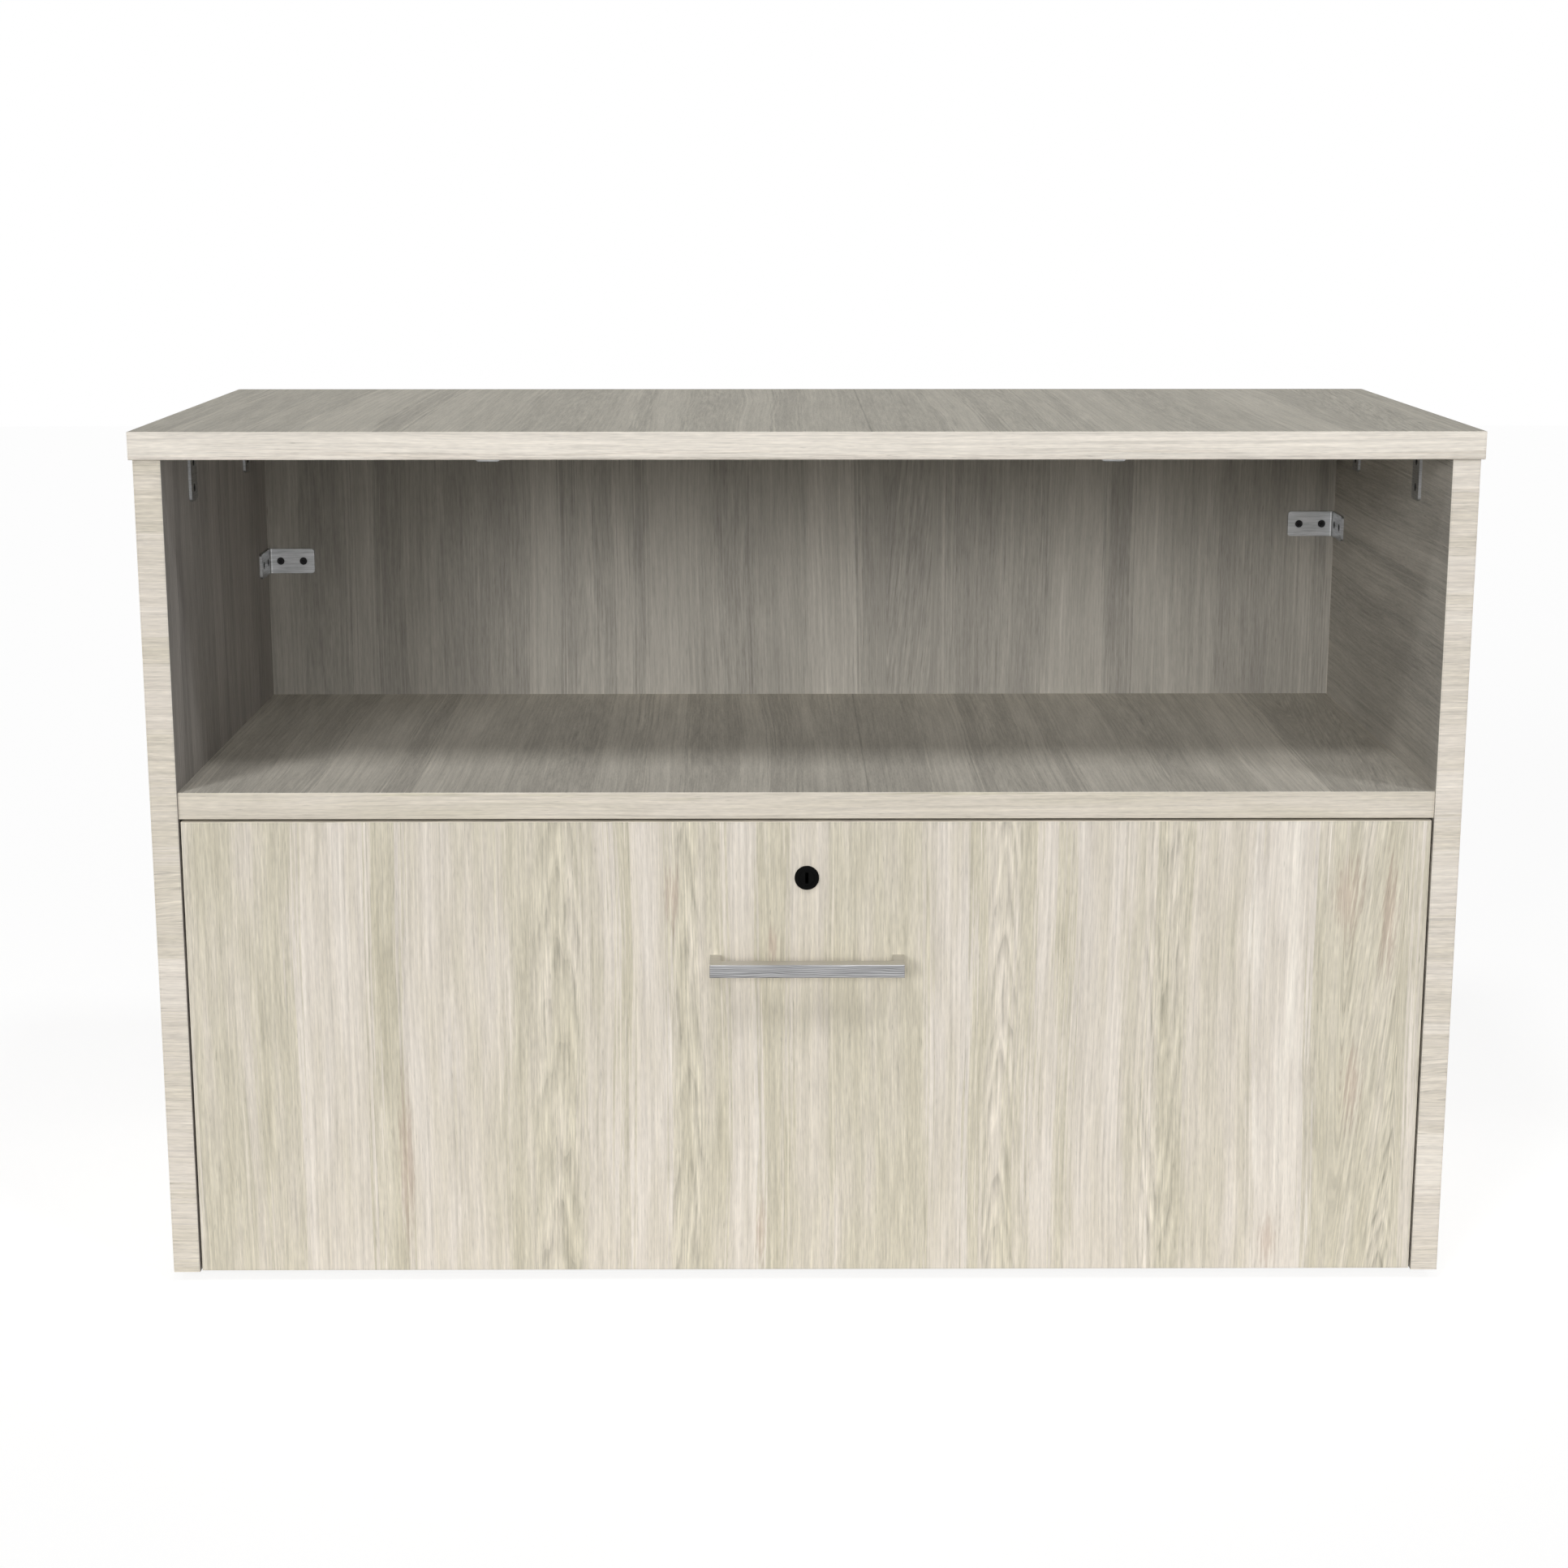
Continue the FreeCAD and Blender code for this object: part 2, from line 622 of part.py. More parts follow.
# Walls and bottom of the drawer box
box_side_size = (s.box_wall, s.box_depth, s.box_height)
box_left = Board("drawer_left_side", box_side_size, (-(box_width / 2), y_box, z_box))
box_right = Board("drawer_right_side", box_side_size, (box_width / 2 - s.box_wall, y_box, z_box))
box_end_size = (box_inner_width, s.box_wall, s.box_height)
y_box_back = y_box + s.box_depth - s.box_wall
box_front = Board("drawer_inner_front", box_end_size, (-(box_inner_width / 2), y_box, z_box))
box_back = Board("drawer_back", box_end_size, (-(box_inner_width / 2), y_box_back, z_box))
bottom_tongue = s.groove_depth - s.groove_clearance
Board(
    "drawer_bottom",
    (
        box_inner_width + bottom_tongue * 2,
        s.box_depth - s.box_wall * 2 + bottom_tongue * 2,
        s.box_bottom_thickness,
    ),
    (
        -(box_inner_width / 2 + bottom_tongue),
        y_box + s.box_wall - bottom_tongue,
        z_box + s.groove_height + s.groove_clearance / 2,
    ),
)
groove_top = s.groove_height + s.box_bottom_thickness + s.groove_clearance
for board, face, along in (
    (box_left, "right", s.box_depth), (box_right, "left", s.box_depth),
    (box_front, "rear", box_inner_width), (box_back, "front", box_inner_width),
):
    board.groove(face, (ZERO, s.groove_height), (along, groove_top), s.groove_depth)

# Corner dowels of the box
dowel_bore = s.dowel_diameter + s.bore_clearance
dowel = doc.addObject("Part::Cylinder", "corner_dowel")
bind(dowel, "Radius", s.dowel_diameter / 2)
bind(dowel, "Height", s.dowel_side_depth + s.dowel_end_depth)
dowel_places = []
corner_rows = (y_box + s.box_wall / 2, y_box_back + s.box_wall / 2)
dowel_heights = [z_box + s.dowel_first + s.dowel_pitch * step for step in range(DOWELS_PER_CORNER)]
for side_board, inner_face, end_face, direction in (
    (box_left, "right", "left", -1), (box_right, "left", "right", 1),
):
    x_joint = box_inner_width / 2 * direction
    for end_board, y in zip((box_front, box_back), corner_rows):
        points = [(x_joint, y, z) for z in dowel_heights]
        side_board.drill(inner_face, points, dowel_bore, s.dowel_side_depth + s.bore_clearance)
        end_board.drill(end_face, points, dowel_bore, s.dowel_end_depth + s.bore_clearance)
        for point in points:
            start = vector(point) - Vector(direction * s.dowel_end_depth.value, 0, 0)
            dowel_places.append(Placement(start, Rotation(Vector(0, 1, 0), 90 * direction)))
group("corner_dowels", dowel, dowel_places)

# Rails for hanging files: a tongue in the wall's top edge and a fin on its inner side
tongue_low = (s.box_wall - s.rail_tongue) / 2
tongue_high = (s.box_wall + s.rail_tongue) / 2
fin_top = s.rail_web + s.rail_fin
rail_length = box_inner_width - s.rail_end_gap * 2
for label, board, y_wall, mirrored in (
    ("front_hanging_rail", box_front, y_box, False),
    ("rear_hanging_rail", box_back, y_box_back, True),
):
    play = s.groove_clearance / 2
    board.groove(
        "over", (ZERO, tongue_low - play), (box_inner_width, tongue_high + play),
        s.rail_tongue_depth + s.groove_clearance,
    )
    outline = [
        (s.groove_clearance, ZERO), (tongue_low, ZERO), (tongue_low, -s.rail_tongue_depth),
        (tongue_high, -s.rail_tongue_depth), (tongue_high, ZERO), (s.box_wall, ZERO),
        (s.box_wall, fin_top), (s.box_wall - s.rail_web, fin_top),
        (s.box_wall - s.rail_web, s.rail_web), (s.groove_clearance, s.rail_web),
    ]
    if mirrored:
        outline = [(s.box_wall - y, z) for y, z in outline]
    body = new_body(label)
    sketch = add_sketch(body, "YZ_Plane")
    draw_polygon(sketch, outline)
    pad(body, sketch, rail_length)
    place(body, -(rail_length / 2), y_wall, z_box + s.box_height)
    nodes[label] = body

# Screws through the inner front into the drawer front
front_screw = turned("front_screw", [
    (ZERO, s.front_screw_head_height), (s.front_screw_head / 2, s.front_screw_head_height),
    (s.front_screw_head / 2, ZERO), (s.front_screw_shank / 2, ZERO),
    (s.front_screw_shank / 2, -(s.front_screw_length - s.screw_point)),
    (ZERO, -s.front_screw_length),
])
z_front_screw = z_box + s.front_screw_low
y_box_face = y_box + s.box_wall
front_screw_points = [
    (x, y_box_face, z)
    for x in (-s.front_screw_side, s.front_screw_side)
    for z in (z_front_screw, z_front_screw + s.front_screw_rise)
]
front_screw_bore = s.front_screw_shank + s.bore_clearance
front_screw_entry = s.front_screw_length - s.box_wall + s.bore_clearance
box_front.drill("rear", front_screw_points, front_screw_bore, s.box_wall)
front.drill("rear", front_screw_points, front_screw_bore, front_screw_entry)
towards_rear = Rotation(Vector(1, 0, 0), -90)
towards_front = Rotation(Vector(1, 0, 0), 90)
group(
    "drawer_front_screws", front_screw,
    [Placement(vector(point), towards_rear) for point in front_screw_points],
)

# Bar pull with two legs, each tapped for a screw from behind the drawer front
handle_length = s.handle_hole_spacing + s.handle_leg
finger_depth = s.handle_projection - s.handle_bar_depth
handle = new_body("pull_handle")
sketch = add_sketch(handle, "XY_Plane")
draw_polygon(sketch, [
    (ZERO, ZERO), (ZERO, -s.handle_projection), (handle_length, -s.handle_projection),
    (handle_length, ZERO), (handle_length - s.handle_leg, ZERO),
    (handle_length - s.handle_leg, -finger_depth), (s.handle_leg, -finger_depth), (s.handle_leg, ZERO),
])
pad(handle, sketch, s.handle_bar_height)
bar_front = -s.handle_projection.value
round_edges(handle, lambda box: near(box.YMax, bar_front), s.handle_round)
sketch = add_sketch(handle, "XZ_Plane")
leg_middle = s.handle_leg / 2
bar_middle = s.handle_bar_height / 2
draw_circles(
    sketch, [(leg_middle, bar_middle), (handle_length - leg_middle, bar_middle)],
    s.handle_screw + s.bore_clearance,
)
pocket(handle, sketch, s.handle_screw_reach + s.bore_clearance, True)
z_handle = z_side + s.handle_height
place(handle, -(handle_length / 2), y_front, z_handle - bar_middle)
nodes["pull_handle"] = handle

# Screws of the pull with their heads sunk in the rear of the drawer front
head_seat = s.front_thickness - s.handle_head_depth
handle_screw = turned("handle_screw", [
    (ZERO, s.handle_screw_head_height), (s.handle_screw_head / 2, s.handle_screw_head_height),
    (s.handle_screw_head / 2, ZERO), (s.handle_screw / 2, ZERO),
    (s.handle_screw / 2, -(head_seat + s.handle_screw_reach)),
    (ZERO, -(head_seat + s.handle_screw_reach)),
])
x_handle_hole = s.handle_hole_spacing / 2
handle_points = [(x, y_front + head_seat, z_handle) for x in (-x_handle_hole, x_handle_hole)]
front.drill("front", handle_points, s.handle_screw + s.bore_clearance, s.front_thickness)
front.drill("rear", handle_points, s.handle_head_bore, s.handle_head_depth)
group(
    "handle_screws", handle_screw,
    [Placement(vector(point), towards_rear) for point in handle_points],
)

# Lock housing with a round face in front of the drawer front and a barrel through it
plug_bore = (s.plug_diameter + s.plug_clearance) / 2
barrel_end = -(s.front_thickness + s.lock_barrel_rear)
barrel = s.lock_barrel / 2
face = s.lock_face / 2
housing = turned("lock_housing", [
    (plug_bore, s.lock_face_thickness), (plug_bore, barrel_end), (barrel, barrel_end), (barrel, ZERO),
    (face, ZERO), (face, s.lock_face_thickness - s.lock_bevel),
    (face - s.lock_bevel, s.lock_face_thickness),
])
place(housing, ZERO, y_front, z_lock, towards_front)
nodes["lock_housing"] = housing
front.drill("front", [(ZERO, y_front, z_lock)], s.lock_barrel + s.bore_clearance, s.front_thickness)

# Six-sided nut on the barrel behind the drawer front
nut_blank = doc.addObject("Part::Prism", "nut_blank")
nut_blank.Polygon = 6
bind(nut_blank, "Circumradius", s.nut_across / Size("sqrt(3)", math.sqrt(3)))
bind(nut_blank, "Height", s.nut_thickness)
nut_bore = doc.addObject("Part::Cylinder", "nut_bore")
bind(nut_bore, "Radius", (s.lock_barrel + s.bore_clearance) / 2)
bind(nut_bore, "Height", s.nut_thickness)
nut = doc.addObject("Part::Cut", "lock_nut")
nut.Base = nut_blank
nut.Tool = nut_bore
place(nut, ZERO, y_box, z_lock, towards_rear)
nodes["lock_nut"] = nut

# Plug with a keyway in front and a square tenon for the cam behind
plug = s.plug_diameter / 2
plug_face = s.lock_face_thickness - s.plug_recess
plug_body = turned("lock_plug", [
    (ZERO, plug_face), (ZERO, barrel_end), (plug, barrel_end), (plug, plug_face),
])
sketch = add_sketch(plug_body, "XY_Plane", plug_face)
draw_rectangle(
    sketch, -(s.keyway_width / 2), -(s.keyway_height / 2), s.keyway_width / 2, s.keyway_height / 2,
)
pocket(plug_body, sketch, s.keyway_depth)
sketch = add_sketch(plug_body, "XY_Plane", barrel_end)
tenon = s.tenon / 2
draw_rectangle(sketch, -tenon, -tenon, tenon, tenon)
tenon_length = s.cam_gap + s.cam_thickness
pad(plug_body, sketch, tenon_length, True)
sketch = add_sketch(plug_body, "XY_Plane", barrel_end - tenon_length)
draw_circles(sketch, [(ZERO, ZERO)], s.cam_screw + s.bore_clearance)
pocket(plug_body, sketch, s.cam_screw_reach + s.bore_clearance, True)
place(plug_body, ZERO, y_front, z_lock, towards_front)
nodes["lock_plug"] = plug_body

# Cam on the tenon, lying level while the drawer is unlocked
cam_radius = s.cam_width / 2
cam_run = s.cam_reach - cam_radius
cam_bar = doc.addObject("Part::Box", "cam_bar")
bind(cam_bar, "Length", cam_run)
bind(cam_bar, "Width", s.cam_width)
bind(cam_bar, "Height", s.cam_thickness)
place(cam_bar, -cam_run, -cam_radius, ZERO)
cam_ends = []
for label, x in (("cam_hub", ZERO), ("cam_tip", -cam_run)):
    disc = doc.addObject("Part::Cylinder", label)
    bind(disc, "Radius", cam_radius)
    bind(disc, "Height", s.cam_thickness)
    place(disc, x, ZERO, ZERO)
    cam_ends.append(disc)
cam_blank = doc.addObject("Part::MultiFuse", "cam_blank")
cam_blank.Shapes = [cam_bar] + cam_ends
cam_blank.Refine = True
cam_square = doc.addObject("Part::Box", "cam_square")
square = s.tenon + s.bore_clearance
bind(cam_square, "Length", square)
bind(cam_square, "Width", square)
bind(cam_square, "Height", s.cam_thickness)
place(cam_square, -(square / 2), -(square / 2), ZERO)
cam = doc.addObject("Part::Cut", "lock_cam")
cam.Base = cam_blank
cam.Tool = cam_square
place(cam, ZERO, y_cam + s.cam_thickness, z_lock, towards_front)
nodes["lock_cam"] = cam

# Screw that holds the cam on the plug
cam_screw = turned("cam_screw", [
    (ZERO, s.cam_screw_head_height), (s.cam_screw_head / 2, s.cam_screw_head_height),
    (s.cam_screw_head / 2, ZERO), (s.cam_screw / 2, ZERO), (s.cam_screw / 2, -s.cam_screw_reach),
    (ZERO, -s.cam_screw_reach),
])
place(cam_screw, ZERO, y_cam + s.cam_thickness, z_lock, towards_rear)
nodes["cam_screw"] = cam_screw

# Strike under the shelf that the raised cam stands behind
y_strike = y_cam - s.strike_gap - s.strike_sheet
strike = new_body("lock_strike")
sketch = add_sketch(strike, "YZ_Plane")
draw_polygon(sketch, [
    (ZERO, ZERO), (ZERO, -s.strike_drop), (s.strike_sheet, -s.strike_drop),
    (s.strike_sheet, -s.strike_sheet), (s.strike_flange, -s.strike_sheet), (s.strike_flange, ZERO),
])
pad(strike, sketch, s.strike_width)
strike_hole_y = (s.strike_flange + s.strike_sheet) / 2
strike_middle = s.strike_width / 2
strike_hole_sides = (-s.strike_screw_side, s.strike_screw_side)
sketch = add_sketch(strike, "XY_Plane", -s.strike_sheet)
draw_circles(sketch, [(strike_middle + x, strike_hole_y) for x in strike_hole_sides], screw_bore)
countersink(strike, sketch, screw_bore, s.sheet_screw_head + s.bore_clearance, True)
place(strike, -strike_middle, y_strike, z_shelf)
nodes["lock_strike"] = strike
strike_points = [(x, y_strike + strike_hole_y, z_shelf - s.strike_sheet) for x in strike_hole_sides]
for point in strike_points:
    want_bore(shelf, "under", point, strike_bore_depth)
upside_down = Rotation(Vector(1, 0, 0), 180)
group("strike_screws", sheet_screw, [Placement(vector(point), upside_down) for point in strike_points])

# Roll-formed slide sections: arcs to mid sheet, joined by straight runs
metal = s.slide_sheet.value
bend = s.slide_bend.value
race = s.ball_diameter.value / 2 + s.ball_clearance.value + metal / 2
outer_row = (s.outer_ball_side.value, s.outer_ball_rise.value)
row_drop = math.sqrt((2 * race) ** 2 - s.ball_row_step.value ** 2)
inner_row = (outer_row[0] + s.ball_row_step.value, outer_row[1] - row_drop)


def heading(start, end):
    """Give the direction from one point to another in degrees."""
    return math.degrees(math.atan2(end[1] - start[1], end[0] - start[0]))


def outer_arcs():
    """Give the upper arcs of the outer member: bend, then race over the outer balls."""
    corner = (metal / 2 + bend, outer_row[1] + race - bend)
    return [(corner, bend, 180, 90), (outer_row, race, 90, s.outer_lip.value)]


def middle_arcs():
    """Give the upper arcs of the intermediate member: bend, outer race, then inner race."""
    side_step = bend
    corner = (outer_row[0] - side_step, outer_row[1] - math.sqrt((bend + race) ** 2 - side_step ** 2))
    turn = heading(corner, outer_row)
    wave = heading(outer_row, inner_row)
    return [
        (corner, bend, 180, turn),
        (outer_row, race, turn - 180, wave),
        (inner_row, race, wave + 180, s.middle_lip.value),
    ]


def inner_arcs():
    """Give the upper arcs of the inner member: bend, then race under the inner balls."""
    x_corner = s.slide_space.value - metal / 2 - bend
    drop = math.sqrt((bend + race) ** 2 - (x_corner - inner_row[0]) ** 2)
    corner = (x_corner, inner_row[1] - drop)
    turn = heading(corner, inner_row)
    return [(corner, bend, 0, turn), (inner_row, race, turn + 180, s.inner_lip.value)]


def arc_points(arc, shift, hand):
    """Give start, middle and end of an arc moved to one face of the sheet."""
    (x, z), radius, start, end = arc
    reach = radius + (shift if end < start else -shift)
    angles = [math.radians(angle) for angle in (start, (start + end) / 2, end)]
    return [
        Vector(hand * (x + reach * math.cos(angle)), 0, z + reach * math.sin(angle)) for angle in angles
    ]


def rolled_section(upper, hand):
    """Give the face of a section that is the same above and below its axis."""
    lower = [((x, -z), radius, -end, -start) for (x, z), radius, start, end in reversed(upper)]
    arcs = lower + list(upper)
    left = [arc_points(arc, metal / 2, hand) for arc in arcs]
    right = [arc_points(arc, -metal / 2, hand)[::-1] for arc in reversed(arcs)]
    runs = left + right
    edges = []
    for index, (start, middle, end) in enumerate(runs):
        edges.append(Part.Arc(start, middle, end).toShape())
        after = runs[(index + 1) % len(runs)][0]
        if end.distanceToPoint(after) > 1e-6:
            edges.append(Part.LineSegment(end, after).toShape())
    return Part.Face(Part.Wire(Part.sortEdges(edges)[0]))


def slide_member(label, upper, hand, x, cutters):
    """Draw a rolled section along the slide and cut its screw or access holes."""
    section = doc.addObject("Part::Feature", f"{label}_section")
    section.Shape = rolled_section(upper, hand)
    run = doc.addObject("Part::Extrusion", f"{label}_run")
    run.Base = section
    run.DirMode = "Custom"
    run.Dir = Vector(0, 1, 0)
    run.Solid = True
    bind(run, "LengthFwd", s.slide_length)
    holes = doc.addObject("Part::Compound", f"{label}_holes")
    holes.Links = cutters
    member = doc.addObject("Part::Cut", label)
    member.Base = run
    member.Tool = holes
    place(member, x, y_slide, z_slide)
    nodes[label] = member


def cone_cutter(label, head_x, y, hand):
    """Make the seat of a flat head in a slide web, pointing away from the head."""
    cone = doc.addObject("Part::Cone", label)
    play = s.bore_clearance / 2
    bind(cone, "Radius1", s.sheet_screw_head / 2 + play)
    bind(cone, "Radius2", s.sheet_screw_head / 2 - s.slide_sheet + play)
    bind(cone, "Height", s.slide_sheet)
    place(cone, head_x, y, ZERO, Rotation(Vector(0, 1, 0), 90 * hand))
    return cone


slide_steps = [s.slide_screw_first + s.slide_screw_pitch * step for step in range(SCREWS_PER_MEMBER)]
outer_screw_places = []
inner_screw_places = []
cage_ball_steps = [s.cage_first_ball + s.ball_pitch * step for step in range(BALLS_PER_ROW)]
outer_ball_places = []
inner_ball_places = []

# Cages start in the middle of the shut slide and stay between their members to the end of the travel
cage_start = (s.slide_length - s.cage_length) / 2


def ball_cage(label, hand, x, web_low, row):
    """Bend a cage with a comb of ball seats along its upper and lower edges."""
    body = new_body(label)
    sketch = add_sketch(body, "XZ_Plane")
    web_high = web_low + s.cage_sheet
    rim = row[0] + s.cage_lap
    high = row[1] + s.cage_sheet / 2
    low = row[1] - s.cage_sheet / 2
    outline = [
        (web_low, -high), (rim, -high), (rim, -low), (web_high, -low),
        (web_high, low), (rim, low), (rim, high), (web_low, high),
    ]
    draw_polygon(sketch, [(side * hand, up) for side, up in outline])
    pad(body, sketch, s.cage_length, True)
    sketch = add_sketch(body, "XY_Plane", high)
    draw_circles(
        sketch, [(row[0] * hand, step) for step in cage_ball_steps],
        s.ball_diameter + s.ball_clearance * 2,
    )
    pocket(body, sketch, high * 2)
    place(body, x, y_slide + cage_start, z_slide)
    nodes[label] = body


inner_ball_side = s.outer_ball_side + s.ball_row_step
row_distance = s.ball_diameter + s.ball_clearance * 2 + s.slide_sheet
inner_ball_rise = Size(
    f"(sizes.outer_ball_rise - sqrt({row_distance.formula} ^ 2 - sizes.ball_row_step ^ 2))",
    inner_row[1],
)
middle_web_face = s.outer_ball_side - s.slide_bend * 2 + s.slide_sheet / 2
for side, hand, x_wall, board, board_face, box_board, box_face in (
    ("left", 1, -x_inner, left_side, "right", box_left, "left"),
    ("right", -1, x_inner, right_side, "left", box_right, "right"),
):
    outer_cuts = []
    middle_cuts = []
    inner_cuts = []
    x_outer_head = s.slide_sheet * hand
    x_inner_head = (s.slide_space - s.slide_sheet) * hand
    for number, step in enumerate(slide_steps, start=1):
        outer_cuts.append(cone_cutter(f"{side}_outer_seat_{number}", x_outer_head, step, -hand))
        inner_cuts.append(cone_cutter(f"{side}_inner_seat_{number}", x_inner_head, step, hand))
        window = doc.addObject("Part::Cylinder", f"{side}_access_{number}")
        bind(window, "Radius", s.access_hole / 2)
        bind(window, "Height", s.slide_space)
        place(window, ZERO, step, ZERO, Rotation(Vector(0, 1, 0), 90 * hand))
        middle_cuts.append(window)
        outer_point = (x_wall + x_outer_head, y_slide + step, z_slide)
        inner_point = (x_wall + x_inner_head, y_slide + step, z_slide)
        want_bore(board, board_face, outer_point, slide_bore_depth)
        want_bore(box_board, box_face, inner_point, slide_bore_depth)
        outer_turn = Rotation(Vector(0, 1, 0), 90 * hand)
        inner_turn = Rotation(Vector(0, 1, 0), -90 * hand)
        outer_screw_places.append(Placement(vector(outer_point), outer_turn))
        inner_screw_places.append(Placement(vector(inner_point), inner_turn))
    slide_member(f"{side}_slide_outer", outer_arcs(), hand, x_wall, outer_cuts)
    slide_member(f"{side}_slide_middle", middle_arcs(), hand, x_wall, middle_cuts)
    slide_member(f"{side}_slide_inner", inner_arcs(), hand, x_wall, inner_cuts)
    ball_cage(
        f"{side}_outer_ball_cage", hand, x_wall, s.slide_sheet + s.cage_gap,
        (s.outer_ball_side, s.outer_ball_rise),
    )
    ball_cage(
        f"{side}_inner_ball_cage", hand, x_wall, middle_web_face + s.cage_inner_gap,
        (inner_ball_side, inner_ball_rise),
    )
    for row_side, row_rise, places in (
        (s.outer_ball_side, s.outer_ball_rise, outer_ball_places),
        (inner_ball_side, inner_ball_rise, inner_ball_places),
    ):
        for step in cage_ball_steps:
            for rise in (row_rise, -row_rise):
                point = (x_wall + row_side * hand, y_slide + cage_start + step, z_slide + rise)
                places.append(Placement(vector(point), Rotation()))
group("slide_outer_screws", sheet_screw, outer_screw_places)
group("slide_inner_screws", sheet_screw, inner_screw_places)
ball = doc.addObject("Part::Sphere", "slide_ball")
bind(ball, "Radius", s.ball_diameter / 2)
group("outer_race_balls", ball, outer_ball_places)
group("inner_race_balls", ball, inner_ball_places)

# Pilot bores for all screws that enter a panel
for (board, face, _), (depth, points) in pilot_bores.items():
    board.drill(face, points, screw_bore, depth)

# Check every piece and write it
doc.recompute()
for item in doc.Objects:
    if "Invalid" in item.State or "Error" in item.State:
        raise RuntimeError(f"{item.Label} did not build: {item.State}")
os.makedirs("parts", exist_ok=True)
for label, piece in nodes.items():
    shape = piece.Shape
    if shape.isNull() or not shape.isValid() or not shape.Solids:
        raise RuntimeError(f"{label} has no sound shape")
    shape.exportStep(f"parts/{label}.step")
    print(label, len(shape.Solids), round(shape.Volume, 1))
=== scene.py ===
"""Finishes, studio light and camera for the credenza with an open bay and one wide file drawer."""

import math

import bmesh
import bpy
from mathutils import Matrix, Vector


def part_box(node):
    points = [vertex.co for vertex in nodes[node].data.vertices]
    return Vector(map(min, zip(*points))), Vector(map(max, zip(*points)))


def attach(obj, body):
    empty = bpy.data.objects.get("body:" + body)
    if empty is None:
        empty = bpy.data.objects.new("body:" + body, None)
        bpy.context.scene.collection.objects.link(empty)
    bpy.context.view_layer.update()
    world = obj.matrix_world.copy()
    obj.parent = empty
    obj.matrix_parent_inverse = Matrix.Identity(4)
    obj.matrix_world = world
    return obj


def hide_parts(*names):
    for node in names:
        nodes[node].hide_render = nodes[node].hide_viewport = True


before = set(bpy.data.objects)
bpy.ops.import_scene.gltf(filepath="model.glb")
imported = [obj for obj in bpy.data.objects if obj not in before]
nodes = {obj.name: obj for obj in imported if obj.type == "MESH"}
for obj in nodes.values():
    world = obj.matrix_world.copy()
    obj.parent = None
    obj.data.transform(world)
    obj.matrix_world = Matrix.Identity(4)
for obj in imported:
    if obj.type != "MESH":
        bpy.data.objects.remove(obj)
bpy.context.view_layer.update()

MM = 0.001
# Where the mix node keeps the two inputs and the output of each kind of value
MIX_SOCKETS = {"VECTOR": (4, 5, 1), "RGBA": (6, 7, 2)}
# A face starts to look along an axis at the first part of its normal, and fully does at the second
TURNING, TURNED = 0.6, 0.8


def paint(red, green, blue):
    """A colour as it is read off a colour card, from 0 to 255, in the scene's own linear values."""
    channels = []
    for value in (red, green, blue):
        share = value / 255
        channels.append(share / 12.92 if share <= 0.04045 else ((share + 0.055) / 1.055) ** 2.4)
    return (*channels, 1.0)


